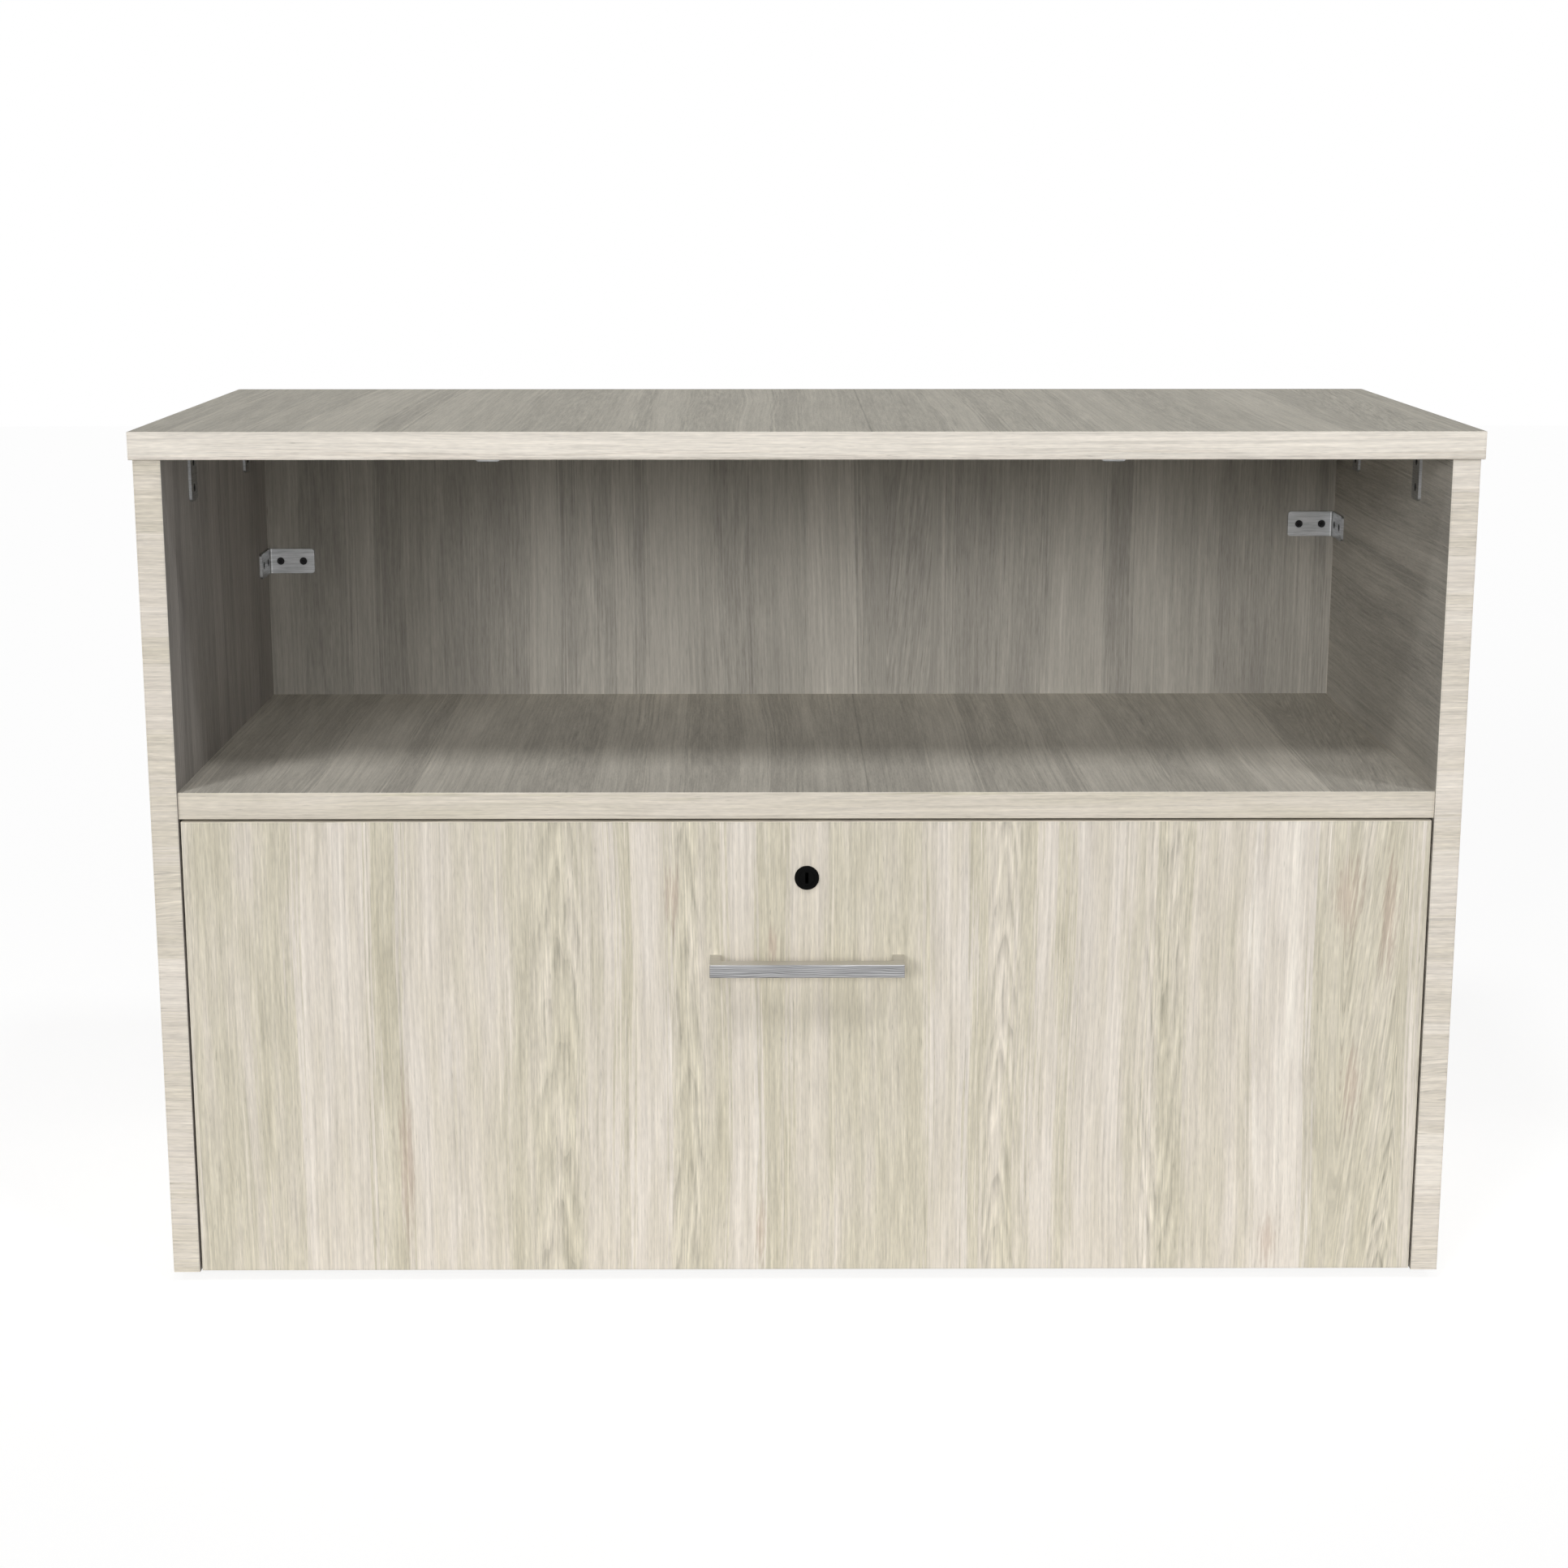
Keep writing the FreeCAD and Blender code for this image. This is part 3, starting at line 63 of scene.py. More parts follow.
class Wires:
    """Short calls that add and join the nodes of one node tree."""

    def __init__(self, tree):
        self.tree = tree

    def add(self, kind, **settings):
        node = self.tree.nodes.new(kind)
        for name, value in settings.items():
            setattr(node, name, value)
        return node

    def put(self, socket, value):
        """Join an output to a socket, or write a plain value on it."""
        if isinstance(value, bpy.types.NodeSocket):
            self.tree.links.new(value, socket)
        else:
            socket.default_value = value

    def math(self, operation, *values):
        node = self.add("ShaderNodeMath", operation=operation)
        for socket, value in zip(node.inputs, values):
            self.put(socket, value)
        return node.outputs[0]

    def total(self, *values):
        """Add up several values."""
        result = values[0]
        for value in values[1:]:
            result = self.math("ADD", result, value)
        return result

    def weighted(self, base, *parts):
        """A base value plus each value times its weight."""
        result = base
        for value, weight in parts:
            result = self.math("MULTIPLY_ADD", value, weight, result)
        return result

    def distance(self, first, second):
        """How far apart two values are."""
        return self.math("ABSOLUTE", self.math("SUBTRACT", first, second))

    def vector(self, operation, *values):
        node = self.add("ShaderNodeVectorMath", operation=operation)
        for socket, value in zip(node.inputs, values):
            self.put(socket, value)
        return node.outputs["Value" if operation == "LENGTH" else "Vector"]

    def scale(self, vector, factor):
        """Make a vector or a colour longer or brighter by a factor."""
        node = self.add("ShaderNodeVectorMath", operation="SCALE")
        self.put(node.inputs["Vector"], vector)
        self.put(node.inputs["Scale"], factor)
        return node.outputs["Vector"]

    def split(self, vector):
        node = self.add("ShaderNodeSeparateXYZ")
        self.put(node.inputs[0], vector)
        return node.outputs[0], node.outputs[1], node.outputs[2]

    def join(self, x, y, z):
        node = self.add("ShaderNodeCombineXYZ")
        for socket, value in zip(node.inputs, (x, y, z)):
            self.put(socket, value)
        return node.outputs[0]

    def noise(self, vector, stretch, detail=2.0, roughness=0.5):
        """Noise about zero on a vector whose axes are scaled by stretch, in waves per metre."""
        node = self.add("ShaderNodeTexNoise")
        self.put(node.inputs["Vector"], self.vector("MULTIPLY", vector, stretch))
        node.inputs["Scale"].default_value = 1.0
        node.inputs["Detail"].default_value = detail
        node.inputs["Roughness"].default_value = roughness
        return self.math("SUBTRACT", node.outputs["Fac"], 0.5)

    def smooth(self, value, start, end, low=0.0, high=1.0):
        """Go smoothly from low at start to high at end."""
        node = self.add("ShaderNodeMapRange", interpolation_type="SMOOTHSTEP")
        for name, number in zip(("From Min", "From Max", "To Min", "To Max"), (start, end, low, high)):
            node.inputs[name].default_value = number
        self.put(node.inputs["Value"], value)
        return node.outputs["Result"]

    def ramp(self, value, stops, interpolation="LINEAR"):
        """Turn a value from 0 to 1 into the colours of the stops, each a place and a colour."""
        node = self.add("ShaderNodeValToRGB")
        node.color_ramp.interpolation = interpolation
        elements = node.color_ramp.elements
        while len(elements) < len(stops):
            elements.new(1.0)
        for element, (place, colour) in zip(elements, stops):
            element.position = place
            element.color = colour
        self.put(node.inputs["Fac"], value)
        return node.outputs["Color"]

    def mix(self, kind, factor, first, second):
        """Go from the first colour or vector to the second as the factor goes from 0 to 1."""
        node = self.add("ShaderNodeMix", data_type=kind)
        first_place, second_place, result_place = MIX_SOCKETS[kind]
        self.put(node.inputs["Factor"], factor)
        self.put(node.inputs[first_place], first)
        self.put(node.inputs[second_place], second)
        return node.outputs[result_place]


def new_finish(name):
    """An empty material with its surface shader: returns the material, its wires and the shader."""
    material = bpy.data.materials.new(name)
    material.use_nodes = True
    wires = Wires(material.node_tree)
    material.node_tree.nodes.clear()
    output = wires.add("ShaderNodeOutputMaterial")
    shader = wires.add("ShaderNodeBsdfPrincipled")
    wires.put(output.inputs["Surface"], shader.outputs["BSDF"])
    return material, wires, shader


def object_place(wires):
    """The place on the piece, in metres."""
    return wires.add("ShaderNodeTexCoord").outputs["Object"]


def surface_normal(wires):
    """The x, y and z parts of the way that the surface looks."""
    return wires.split(wires.add("ShaderNodeNewGeometry").outputs["Normal"])


def looks_along(wires, part, no=0.0, yes=1.0):
    """Go from no to yes as a face turns to an axis, given the part of its normal along that axis."""
    return wires.smooth(part, TURNING, TURNED, no, yes)


def colour_and_gloss(wires, shader, value, dark, pale, coarse, fine):
    """Colour from dark to pale, and roughness from coarse to fine, as a value goes from 0 to 1."""
    wires.put(shader.inputs["Base Color"], wires.ramp(value, ((0.0, dark), (1.0, pale))))
    wires.put(shader.inputs["Roughness"], wires.smooth(value, 0.0, 1.0, coarse, fine))


def relief(wires, shader, height, depth):
    """Raise the surface by height, from 0 to 1, times depth in metres."""
    bump = wires.add("ShaderNodeBump")
    bump.inputs["Strength"].default_value = 1.0
    bump.inputs["Distance"].default_value = depth
    wires.put(bump.inputs["Height"], height)
    wires.put(shader.inputs["Normal"], bump.outputs["Normal"])


# Wood-grain laminate: boards of olive and pale tone, printed one beside the other
LAMINATE_REPEAT = 867 * MM
LAMINATE_START = -433.5 * MM
DEEP, OLIVE, PLAIN, PALE, CREAM = 0.2, 0.32, 0.52, 0.68, 0.84
# Each board of the print: where it starts across the grain in millimetres, and its tone
PRINT_BOARDS = (
    (-433, OLIVE), (-396, PLAIN), (-386, OLIVE), (-356, PALE), (-307, DEEP), (-287, PALE),
    (-254, PLAIN), (-216, OLIVE), (-162, PLAIN), (-147, PALE), (-136, OLIVE), (-127, PALE),
    (-99, OLIVE), (-60, PALE), (-37, DEEP), (-16, PLAIN), (14, OLIVE), (83, PALE),
    (114, DEEP), (124, PLAIN), (144, OLIVE), (156, PALE), (176, OLIVE), (184, PALE),
    (224, PLAIN), (246, OLIVE), (270, PLAIN), (312, CREAM), (353, OLIVE), (425, PALE),
)
# How far the boards wander sideways, how far fibres feather their edges, and how wide a dark joint is
BOARD_WANDER = 17 * MM
BOARD_FEATHER = 44 * MM
JOINT_WIDTH = 1.4 * MM
# How strongly the tone varies within a board
BOARD_MOTTLE = 1.05
# Arched flame figure in millimetres: middle, half width, step from arch to arch, and rise of an arch
FLAMES = ((-176, 17, 62, 66), (-86, 13, 90, 120), (138, 13, 44, 80), (254, 17, 78, -150), (410, 10, 24, 40))
# An arch is pointed like a roof at a bend of 1 and round at 2, and its twist is in steps from arch to arch
ARCH_BEND = 1.25
ARCH_TWIST = 1.7
# The board whose grain leans: middle and half width in millimetres, lean, and extra life of its streaks
LEANING_BOARD = (398, 26, 0.09, 0.9)
# Colours of the print, from its olive boards to its pale ones
PRINT_TONES = (
    (0.0, paint(200, 193, 173)), (0.3, paint(213, 206, 188)), (0.55, paint(220, 212, 198)),
    (0.8, paint(228, 220, 209)), (1.0, paint(238, 231, 220)),
)
# Tones of the faces with painted shade, cooler to stand in for the cooler light in the shade, and their
# boards differ in depth alone
SHADED_FACE_TONES = ((0.0, paint(198, 193, 182)), (0.45, paint(217, 212, 199)), (1.0, paint(241, 235, 221)))
# The middle of the tones, the contrast of the streaks and of the edge bands, and the gloss
MIDDLE_TONE = 0.5
STREAK_CONTRAST = 0.36
BAND_CONTRAST = 0.6
LAMINATE_GLOSS = 0.01
# Pink blushes: their colour, depth, and how far the streaks feather them
PRINT_BLUSH = paint(204, 184, 168)
BLUSH_DEPTH = 0.55
BLUSH_FEATHER = 1.2
# Worn rim and glue line of the edge bands, by the distance from the edge, and the light they add or take
WORN_RIM = (0.9 * MM, 0.2 * MM)
WORN_LIGHT = 0.04
GLUE_LINE = 1.1 * MM
GLUE_HALF_WIDTH = (0.25 * MM, 0.05 * MM)
GLUE_LIGHT = -0.1
# Thin dark joint in the print of the top and the shelf
SEAM_HALF_WIDTH = (0.9 * MM, 0.4 * MM)
SEAM_LIGHT = -0.2


def flame_arches(wires, leaned, along, twist, middle, half, step, rise):
    """How strong the dark and the pale arches of one flame are; a rise below zero points them down."""
    offset = wires.math("DIVIDE", wires.distance(leaned, middle * MM), half * MM)
    bend = wires.math("MULTIPLY", wires.math("POWER", offset, ARCH_BEND), rise * MM)
    turns = wires.math("DIVIDE", wires.math("ADD", along, bend), step * MM)
    ring = wires.math("FRACT", wires.math("ADD", turns, twist))
    within = wires.smooth(offset, 1.15, 0.5)
    # Each ring starts with a pale line and darkens slowly towards a sharp end
    dark = wires.math("MULTIPLY", wires.smooth(ring, 0.5, 0.9), wires.smooth(ring, 1.0, 0.94))
    pale = wires.math("MULTIPLY", wires.smooth(ring, 0.02, 0.2), wires.smooth(ring, 0.55, 0.3))
    return wires.math("MULTIPLY", dark, within), wires.math("MULTIPLY", pale, within)


def board_tone(wires, across):
    """The tone of the board at a place across the grain, in metres."""
    start_of_print = wires.math("SUBTRACT", across, LAMINATE_START)
    share = wires.math("FRACT", wires.math("DIVIDE", start_of_print, LAMINATE_REPEAT))
    stops = []
    for start, tone in PRINT_BOARDS:
        stops.append(((start * MM - LAMINATE_START) / LAMINATE_REPEAT, (tone, tone, tone, 1.0)))
    return wires.ramp(share, stops, "CONSTANT")


def laminate_print():
    """The printed wood grain as a node group: X runs across the grain and Z along it, in metres.

    Each noise is stretched across the grain, from layer to layer and along the grain.
    """
    group = bpy.data.node_groups.new("laminate_print", "ShaderNodeTree")
    group.interface.new_socket("Grain", in_out="INPUT", socket_type="NodeSocketVector")
    for name in ("Board", "Streak", "Arches", "Pores"):
        group.interface.new_socket(name, in_out="OUTPUT", socket_type="NodeSocketFloat")
    wires = Wires(group)
    grain = wires.add("NodeGroupInput").outputs["Grain"]
    across, layer, along = wires.split(grain)

    # The boards wander along their length, and the grain of one of them leans
    wander = wires.noise(grain, (7, 1, 2.4), 1.0)
    wandered = wires.math("MULTIPLY_ADD", wander, BOARD_WANDER, across)
    lean_middle, lean_half, lean, liveliness = LEANING_BOARD
    from_leaning = wires.distance(wandered, lean_middle * MM)
    on_leaning = wires.smooth(from_leaning, lean_half * MM, 0.7 * lean_half * MM)
    leaned = wires.math("MULTIPLY_ADD", along, wires.math("MULTIPLY", on_leaning, -lean), wandered)
    swayed = wires.join(leaned, layer, along)

    # Fibres feather the edges of the boards, and here and there a dark line runs along a joint
    fibre = wires.noise(swayed, (520, 1, 5), 2.0, 0.6)
    boards = board_tone(wires, wires.math("MULTIPLY_ADD", fibre, BOARD_FEATHER, wandered))
    beside = board_tone(wires, wires.math("ADD", wandered, JOINT_WIDTH))
    tone_step = wires.distance(board_tone(wires, wandered), beside)
    joint_here = wires.smooth(wires.noise(swayed, (9, 1, 4), 1.0), -0.05, 0.15)
    joint_line = wires.math("MULTIPLY", wires.smooth(tone_step, 0.08, 0.25), joint_here)
    mottle = wires.noise(swayed, (75, 1, 7), 2.0)

    # Long parallel lines on the pale boards, short broken streaks and pores on the olive ones
    lines = wires.noise(swayed, (460, 1, 2.0), 1.0)
    bundles = wires.noise(swayed, (190, 1, 7), 1.0)
    hairs = wires.noise(swayed, (900, 1, 30), 1.0)
    speckle = wires.noise(swayed, (1200, 1, 120), 1.0)
    lively = wires.math("MULTIPLY_ADD", on_leaning, liveliness, 1.0)
    broken = wires.math("MULTIPLY", wires.noise(swayed, (400, 1, 22), 2.0, 0.6), lively)
    cream = wires.smooth(wires.noise(swayed, (480, 1, 12), 1.0), 0.18, 0.3)
    pores = wires.smooth(wires.noise(swayed, (800, 1, 85), 1.0), 0.14, 0.3)

    # How strong each of them is on the olive boards and on the pale ones
    strengths = (
        (lines, 0.75, 1.15), (bundles, 0.5, 0.5), (hairs, 1.1, 0.8), (speckle, 1.1, 0.8),
        (broken, 1.4, 0.85), (cream, 0.3, 0.3), (joint_line, -0.28, -0.28), (pores, -0.6, -0.4),
    )
    pale_board = wires.smooth(boards, 0.15, 0.8)
    streaks = []
    for part, on_olive, on_pale in strengths:
        streaks.append((part, wires.smooth(pale_board, 0.0, 1.0, on_olive, on_pale)))

    # Flame figure, its arches twisted out of true
    twist = wires.math("MULTIPLY", wires.noise(swayed, (80, 1, 14), 1.0), ARCH_TWIST)
    dark_arches = []
    pale_arches = []
    for flame in FLAMES:
        dark, pale = flame_arches(wires, leaned, along, twist, *flame)
        dark_arches.append(dark)
        pale_arches.append(pale)
    dark_strength = wires.smooth(broken, -0.14, 0.12, -0.56, -0.06)
    pale_strength = wires.smooth(hairs, -0.16, 0.16, 0.05, 0.48)
    arches = wires.weighted(
        0.0, (wires.total(*dark_arches), dark_strength), (wires.total(*pale_arches), pale_strength)
    )
    output = wires.add("NodeGroupOutput")
    wires.put(output.inputs["Board"], wires.math("MULTIPLY_ADD", mottle, BOARD_MOTTLE, boards))
    wires.put(output.inputs["Streak"], wires.weighted(0.0, *streaks))
    wires.put(output.inputs["Arches"], arches)
    wires.put(output.inputs["Pores"], pores)
    return group


PRINT = laminate_print()
AXES = ("x", "y", "z")
# The part of a face's normal along an axis above which the grain of that axis is taken
NEAREST_AXIS = 0.707


def grain_place(wires, place, grain, shift, layer):
    """The place turned so that X runs across the grain and Z along it, on each face by its own direction.

    grain names the axis that the grain follows on faces that look along x, y and z.
    """
    parts = dict(zip(AXES, wires.split(place)))
    turned = {}
    for face in AXES:
        along = grain[face]
        across = next(axis for axis in AXES if axis not in (face, along))
        shifted = wires.math("ADD", parts[across], shift * MM)
        turned[face] = wires.join(shifted, layer, parts[along])
    facing = {}
    for axis, part in zip(AXES, surface_normal(wires)):
        facing[axis] = wires.math("GREATER_THAN", wires.math("ABSOLUTE", part), NEAREST_AXIS)
    upright = wires.mix("VECTOR", facing["x"], turned["y"], turned["x"])
    return wires.mix("VECTOR", facing["z"], upright, turned["z"])


def edge_distance(wires, place, low, high):
    """How far a point on a panel's face lies from the nearest edge of that face, in metres."""
    middle = (low + high) / 2
    half = (high - low) / 2
    offset = wires.vector("ABSOLUTE", wires.vector("SUBTRACT", place, middle))
    x, y, z = wires.split(wires.vector("SUBTRACT", half, offset))
    lesser = wires.math("MINIMUM", x, y)
    greater = wires.math("MAXIMUM", x, y)
    return wires.math("MAXIMUM", lesser, wires.math("MINIMUM", greater, z))


def painted_shade_share(depth, cool=1.0):
    """The share of red, green and blue that a face with painted shade keeps, with more of the blue where
    that painted shade is cooler.
    """
    return depth, depth, depth * cool


def laminate_panel(
    node, grain, shift=0.0, layer=0.0, band=0.62, calm=1.0, shaded_faces=(), seam=None, blushes=(), arches=0.4
):
    """Laminate for one panel, with edge bands, their glue line and lightly worn edges.

    shift moves the print across the grain, in millimetres, and layer picks another run of it.
    band is the tone of the edge bands, and calm the share of the contrast that the broad faces show: a
    calmer print is partly painted sheen, standing in for the sheen that washes the print out at a grazing
    view.
    The faces to shade are given as painted shade: each listed broad face, by the end of the thickness that
    it looks to, is painted darker and cooler, standing in for the shade that falls on it.
    seam is the place along x of a thin dark joint, in millimetres, and arches the strength of the flames.
    """
    material, wires, shader = new_finish("laminate_" + node)
    place = object_place(wires)
    figure = wires.add("ShaderNodeGroup", node_tree=PRINT)
    wires.put(figure.inputs["Grain"], grain_place(wires, place, grain, shift, layer))
    low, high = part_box(node)
    size = high - low
    thin = min(range(3), key=lambda axis: size[axis])
    outward = surface_normal(wires)[thin]
    facing = wires.math("ABSOLUTE", outward)
    broad_face = looks_along(wires, facing)

    # The print, calmer on the broad faces as partly painted sheen, and the tone of the edge bands
    contrast = looks_along(wires, facing, 1.0, calm)
    print_offset = wires.math("SUBTRACT", figure.outputs["Board"], MIDDLE_TONE)
    board_offset = wires.math("MULTIPLY", print_offset, contrast)
    board = wires.math("ADD", board_offset, MIDDLE_TONE)
    drawn = wires.math("MULTIPLY_ADD", figure.outputs["Arches"], arches, figure.outputs["Streak"])
    streak = wires.math("MULTIPLY", drawn, contrast)
    band_tone = wires.math("MULTIPLY_ADD", board_offset, BAND_CONTRAST, band)
    band_colour = wires.ramp(band_tone, PRINT_TONES)
    colour = wires.mix("RGBA", broad_face, band_colour, wires.ramp(board, PRINT_TONES))
    for middle, half in blushes:
        offset = wires.vector("DIVIDE", wires.vector("SUBTRACT", place, middle), half)
        feathered = wires.math("MULTIPLY_ADD", streak, BLUSH_FEATHER, wires.vector("LENGTH", offset))
        colour = wires.mix("RGBA", wires.smooth(feathered, 1.0, 0.1, 0.0, BLUSH_DEPTH), colour, PRINT_BLUSH)
    # Painted shade: the listed broad faces are painted darker and cooler, standing in for the shade inside
    # the bay, in the drawer space and on the top
    for end, kept in shaded_faces:
        shaded_face = looks_along(wires, wires.math("MULTIPLY", outward, end))
        painted_shade_colour = wires.vector("MULTIPLY", wires.ramp(board, SHADED_FACE_TONES), kept)
        colour = wires.mix("RGBA", shaded_face, colour, painted_shade_colour)

    # Streaks, worn edges, glue line and seam lighten or darken it
    edge = edge_distance(wires, place, low, high)
    worn = wires.smooth(edge, *WORN_RIM)
    glue_line = wires.smooth(wires.distance(edge, GLUE_LINE), *GLUE_HALF_WIDTH)
    light = wires.weighted(1.0, (streak, STREAK_CONTRAST), (worn, WORN_LIGHT), (glue_line, GLUE_LIGHT))
    if seam is not None:
        from_seam = wires.distance(wires.split(place)[0], seam * MM)
        seam_line = wires.smooth(from_seam, *SEAM_HALF_WIDTH, 0.0, SEAM_LIGHT)
        light = wires.math("MULTIPLY_ADD", seam_line, broad_face, light)
    wires.put(shader.inputs["Base Color"], wires.scale(colour, light))
    wires.put(shader.inputs["Roughness"], wires.smooth(streak, -0.4, 0.4, 0.58, 0.48))
    shader.inputs["Specular IOR Level"].default_value = LAMINATE_GLOSS
    height = wires.weighted(0.0, (streak, 0.3), (figure.outputs["Pores"], -0.6))
    relief(wires, shader, height, 0.05 * MM)
    return material


def wear(node, material):
    """Give a piece its material on every face."""
    slots = nodes[node].data.materials
    slots.clear()
    slots.append(material)


# Pink blushes on the drawer front: the middle and half size of each, in millimetres
FRONT_BLUSHES = (
    ((-285, 90), (7, 62)), ((-94, 287), (6, 26)), ((-24, 251), (5, 16)), ((378, 285), (12, 34)),
    ((408, 272), (8, 52)), ((386, 148), (9, 34)), ((331, 30), (8, 26)), ((-33, 40), (6, 30)),
)
# A blush goes right through the panel
BLUSH_THROUGH = 1.0
front_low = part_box("drawer_front")[0]
front_blushes = []
for (x, z), (half_x, half_z) in FRONT_BLUSHES:
    middle = Vector((x * MM, front_low.y, z * MM))
    half = Vector((half_x * MM, BLUSH_THROUGH, half_z * MM))
    front_blushes.append((middle, half))

# The axis that the grain follows on faces that look along x, y and z
UPRIGHT = {"x": "z", "y": "z", "z": "x"}
LENGTHWISE = {"x": "y", "y": "x", "z": "y"}
CROSSWISE = {"x": "z", "y": "x", "z": "y"}
# The two ends of a panel's thickness
LOW, HIGH = -1, 1
# Painted shade: the faces inside the bay and the drawer space, under and on the top, and on the shelf are
# painted darker than the laminate is, standing in for the shade that falls on them
PANELS = {
    "drawer_front": {"grain": UPRIGHT, "blushes": front_blushes, "arches": 1.0},
    "top_panel": {
        "grain": LENGTHWISE, "shift": -11, "layer": 2.0, "band": 0.97, "calm": 0.7, "seam": 43,
        "shaded_faces": ((LOW, painted_shade_share(0.62, 1.05)), (HIGH, painted_shade_share(0.94))),
    },
    "left_side_panel": {
        "grain": CROSSWISE, "shift": 113, "layer": 4.0, "band": 0.66, "shaded_faces": ((HIGH, painted_shade_share(0.61, 1.09)),),
    },
    "right_side_panel": {
        "grain": LENGTHWISE, "shift": 242, "layer": 6.0, "band": 0.75, "shaded_faces": ((LOW, painted_shade_share(0.66, 1.03)),),
    },
    "back_panel": {"grain": UPRIGHT, "shift": 311, "layer": 8.0, "shaded_faces": ((LOW, painted_shade_share(0.61, 1.03)),)},
    "shelf_panel": {
        "grain": LENGTHWISE, "shift": -8, "layer": 10.0, "band": 0.34, "calm": 0.85, "seam": 43,
        "shaded_faces": ((LOW, painted_shade_share(0.62)), (HIGH, painted_shade_share(0.84, 1.02))),
    },
    "bottom_panel": {"grain": LENGTHWISE, "shift": 205, "layer": 12.0, "shaded_faces": ((HIGH, painted_shade_share(0.62)),)},
}
for panel, settings in PANELS.items():
    wear(panel, laminate_panel(panel, **settings))


# Metals, moulded pieces and the boards of the drawer box
# Brush lines on the pull: the distance from wave to wave, and how far the waves sway
BRUSH_WAVE = 1.6 * MM
BRUSH_SWAY = 19.0


def brushed_metal(name, dark, pale, brush, roughness, depth):
    """Metal drawn over with fine brush lines; brush gives the waves per metre along x, y and z."""
    material, wires, shader = new_finish(name)
    place = object_place(wires)
    lines = wires.noise(place, brush, 3.0, 0.65)
    cloud = wires.noise(place, (35, 35, 35), 2.0)
    value = wires.weighted(0.5, (lines, 1.5), (cloud, 0.35))
    colour_and_gloss(wires, shader, value, dark, pale, roughness + 0.1, roughness - 0.06)
    shader.inputs["Metallic"].default_value = 1.0
    relief(wires, shader, lines, depth)
    return material


def brushed_pull():
    """Steel of the pull: wavy brush lines on the front of the bar, and a satin skin on its other faces."""
    material, wires, shader = new_finish("pull_steel")
    place = object_place(wires)
    height = wires.split(place)[2]
    to_front = wires.math("MULTIPLY", surface_normal(wires)[1], -1.0)
    sway = wires.math("MULTIPLY", wires.noise(place, (26, 1, 110), 2.0), BRUSH_SWAY)
    wave = wires.math("SINE", wires.math("MULTIPLY_ADD", height, 2 * math.pi / BRUSH_WAVE, sway))
    lines = wires.noise(place, (24, 700, 1100), 2.0, 0.6)
    value = wires.weighted(0.5, (wave, 0.2), (lines, 1.1))
    brushed = wires.ramp(value, ((0.0, paint(80, 80, 81)), (1.0, paint(186, 186, 187))))
    satin_value = wires.weighted(0.5, (lines, 0.8))
    satin = wires.ramp(satin_value, ((0.0, paint(184, 182, 178)), (1.0, paint(218, 216, 212))))
    wires.put(shader.inputs["Base Color"], wires.mix("RGBA", looks_along(wires, to_front), satin, brushed))
    shader.inputs["Metallic"].default_value = 1.0
    wires.put(shader.inputs["Roughness"], wires.smooth(value, 0.0, 1.0, 0.48, 0.36))
    relief(wires, shader, value, 0.01 * MM)
    return material


def plated_metal(name, dark, pale, roughness):
    """Plated or bare sheet metal with a cloudy bloom and small scuffs."""
    material, wires, shader = new_finish(name)
    place = object_place(wires)
    bloom = wires.noise(place, (160, 160, 160), 4.0, 0.6)
    scuffs = wires.smooth(wires.noise(place, (900, 90, 900), 2.0), 0.16, 0.3)
    value = wires.weighted(0.5, (bloom, 1.4), (scuffs, 0.3))
    colour_and_gloss(wires, shader, value, dark, pale, roughness + 0.1, roughness - 0.06)
    shader.inputs["Metallic"].default_value = 1.0
    relief(wires, shader, bloom, 0.02 * MM)
    return material


def dull_coat(name, dark, pale, roughness, scale, depth, gloss=0.3):
    """A painted, oxidised or moulded surface with a fine orange-peel texture."""
    material, wires, shader = new_finish(name)
    place = object_place(wires)
    peel = wires.noise(place, (scale, scale, scale), 3.0, 0.6)
    rubbed = wires.noise(place, (60, 60, 60), 3.0)
    value = wires.weighted(0.5, (peel, 0.9), (rubbed, 0.6))
    colour_and_gloss(wires, shader, value, dark, pale, roughness + 0.08, roughness - 0.08)
    shader.inputs["Specular IOR Level"].default_value = gloss
    relief(wires, shader, peel, depth)
    return material


def melamine():
    """Pale melamine of the drawer box: a fine speckle under a matt skin."""
    material, wires, shader = new_finish("box_melamine")
    place = object_place(wires)
    speckle = wires.noise(place, (1400, 1400, 1400), 2.0)
    mottle = wires.noise(place, (18, 18, 60), 3.0)
    value = wires.weighted(0.5, (speckle, 0.7), (mottle, 0.7))
    colour_and_gloss(wires, shader, value, paint(214, 211, 203), paint(231, 229, 223), 0.56, 0.46)
    relief(wires, shader, speckle, 0.03 * MM)
    return material


def hardboard():
    """Pressed fibre board under the drawer: short dark fibres in a brown felt."""
    material, wires, shader = new_finish("pressed_hardboard")
    place = object_place(wires)
    felt = wires.noise(place, (420, 260, 300), 4.0, 0.65)
    fibres = wires.smooth(wires.noise(place, (260, 900, 400), 3.0, 0.6), 0.1, 0.28)
    value = wires.weighted(0.5, (felt, 1.3), (fibres, -0.3))
    colour_and_gloss(wires, shader, value, paint(128, 103, 76), paint(176, 148, 114), 0.7, 0.55)
    relief(wires, shader, felt, 0.06 * MM)
    return material


def beech():
    """Bare beech dowels: flecks along the length, which lies front to back."""
    material, wires, shader = new_finish("beech_dowel")
    place = object_place(wires)
    fibre = wires.noise(place, (900, 40, 900), 3.0, 0.6)
    flecks = wires.smooth(wires.noise(place, (1500, 220, 1500), 1.0), 0.14, 0.26)
    value = wires.weighted(0.5, (fibre, 1.2), (flecks, -0.3))
    colour_and_gloss(wires, shader, value, paint(186, 148, 104), paint(222, 190, 148), 0.72, 0.58)
    relief(wires, shader, fibre, 0.05 * MM)
    return material


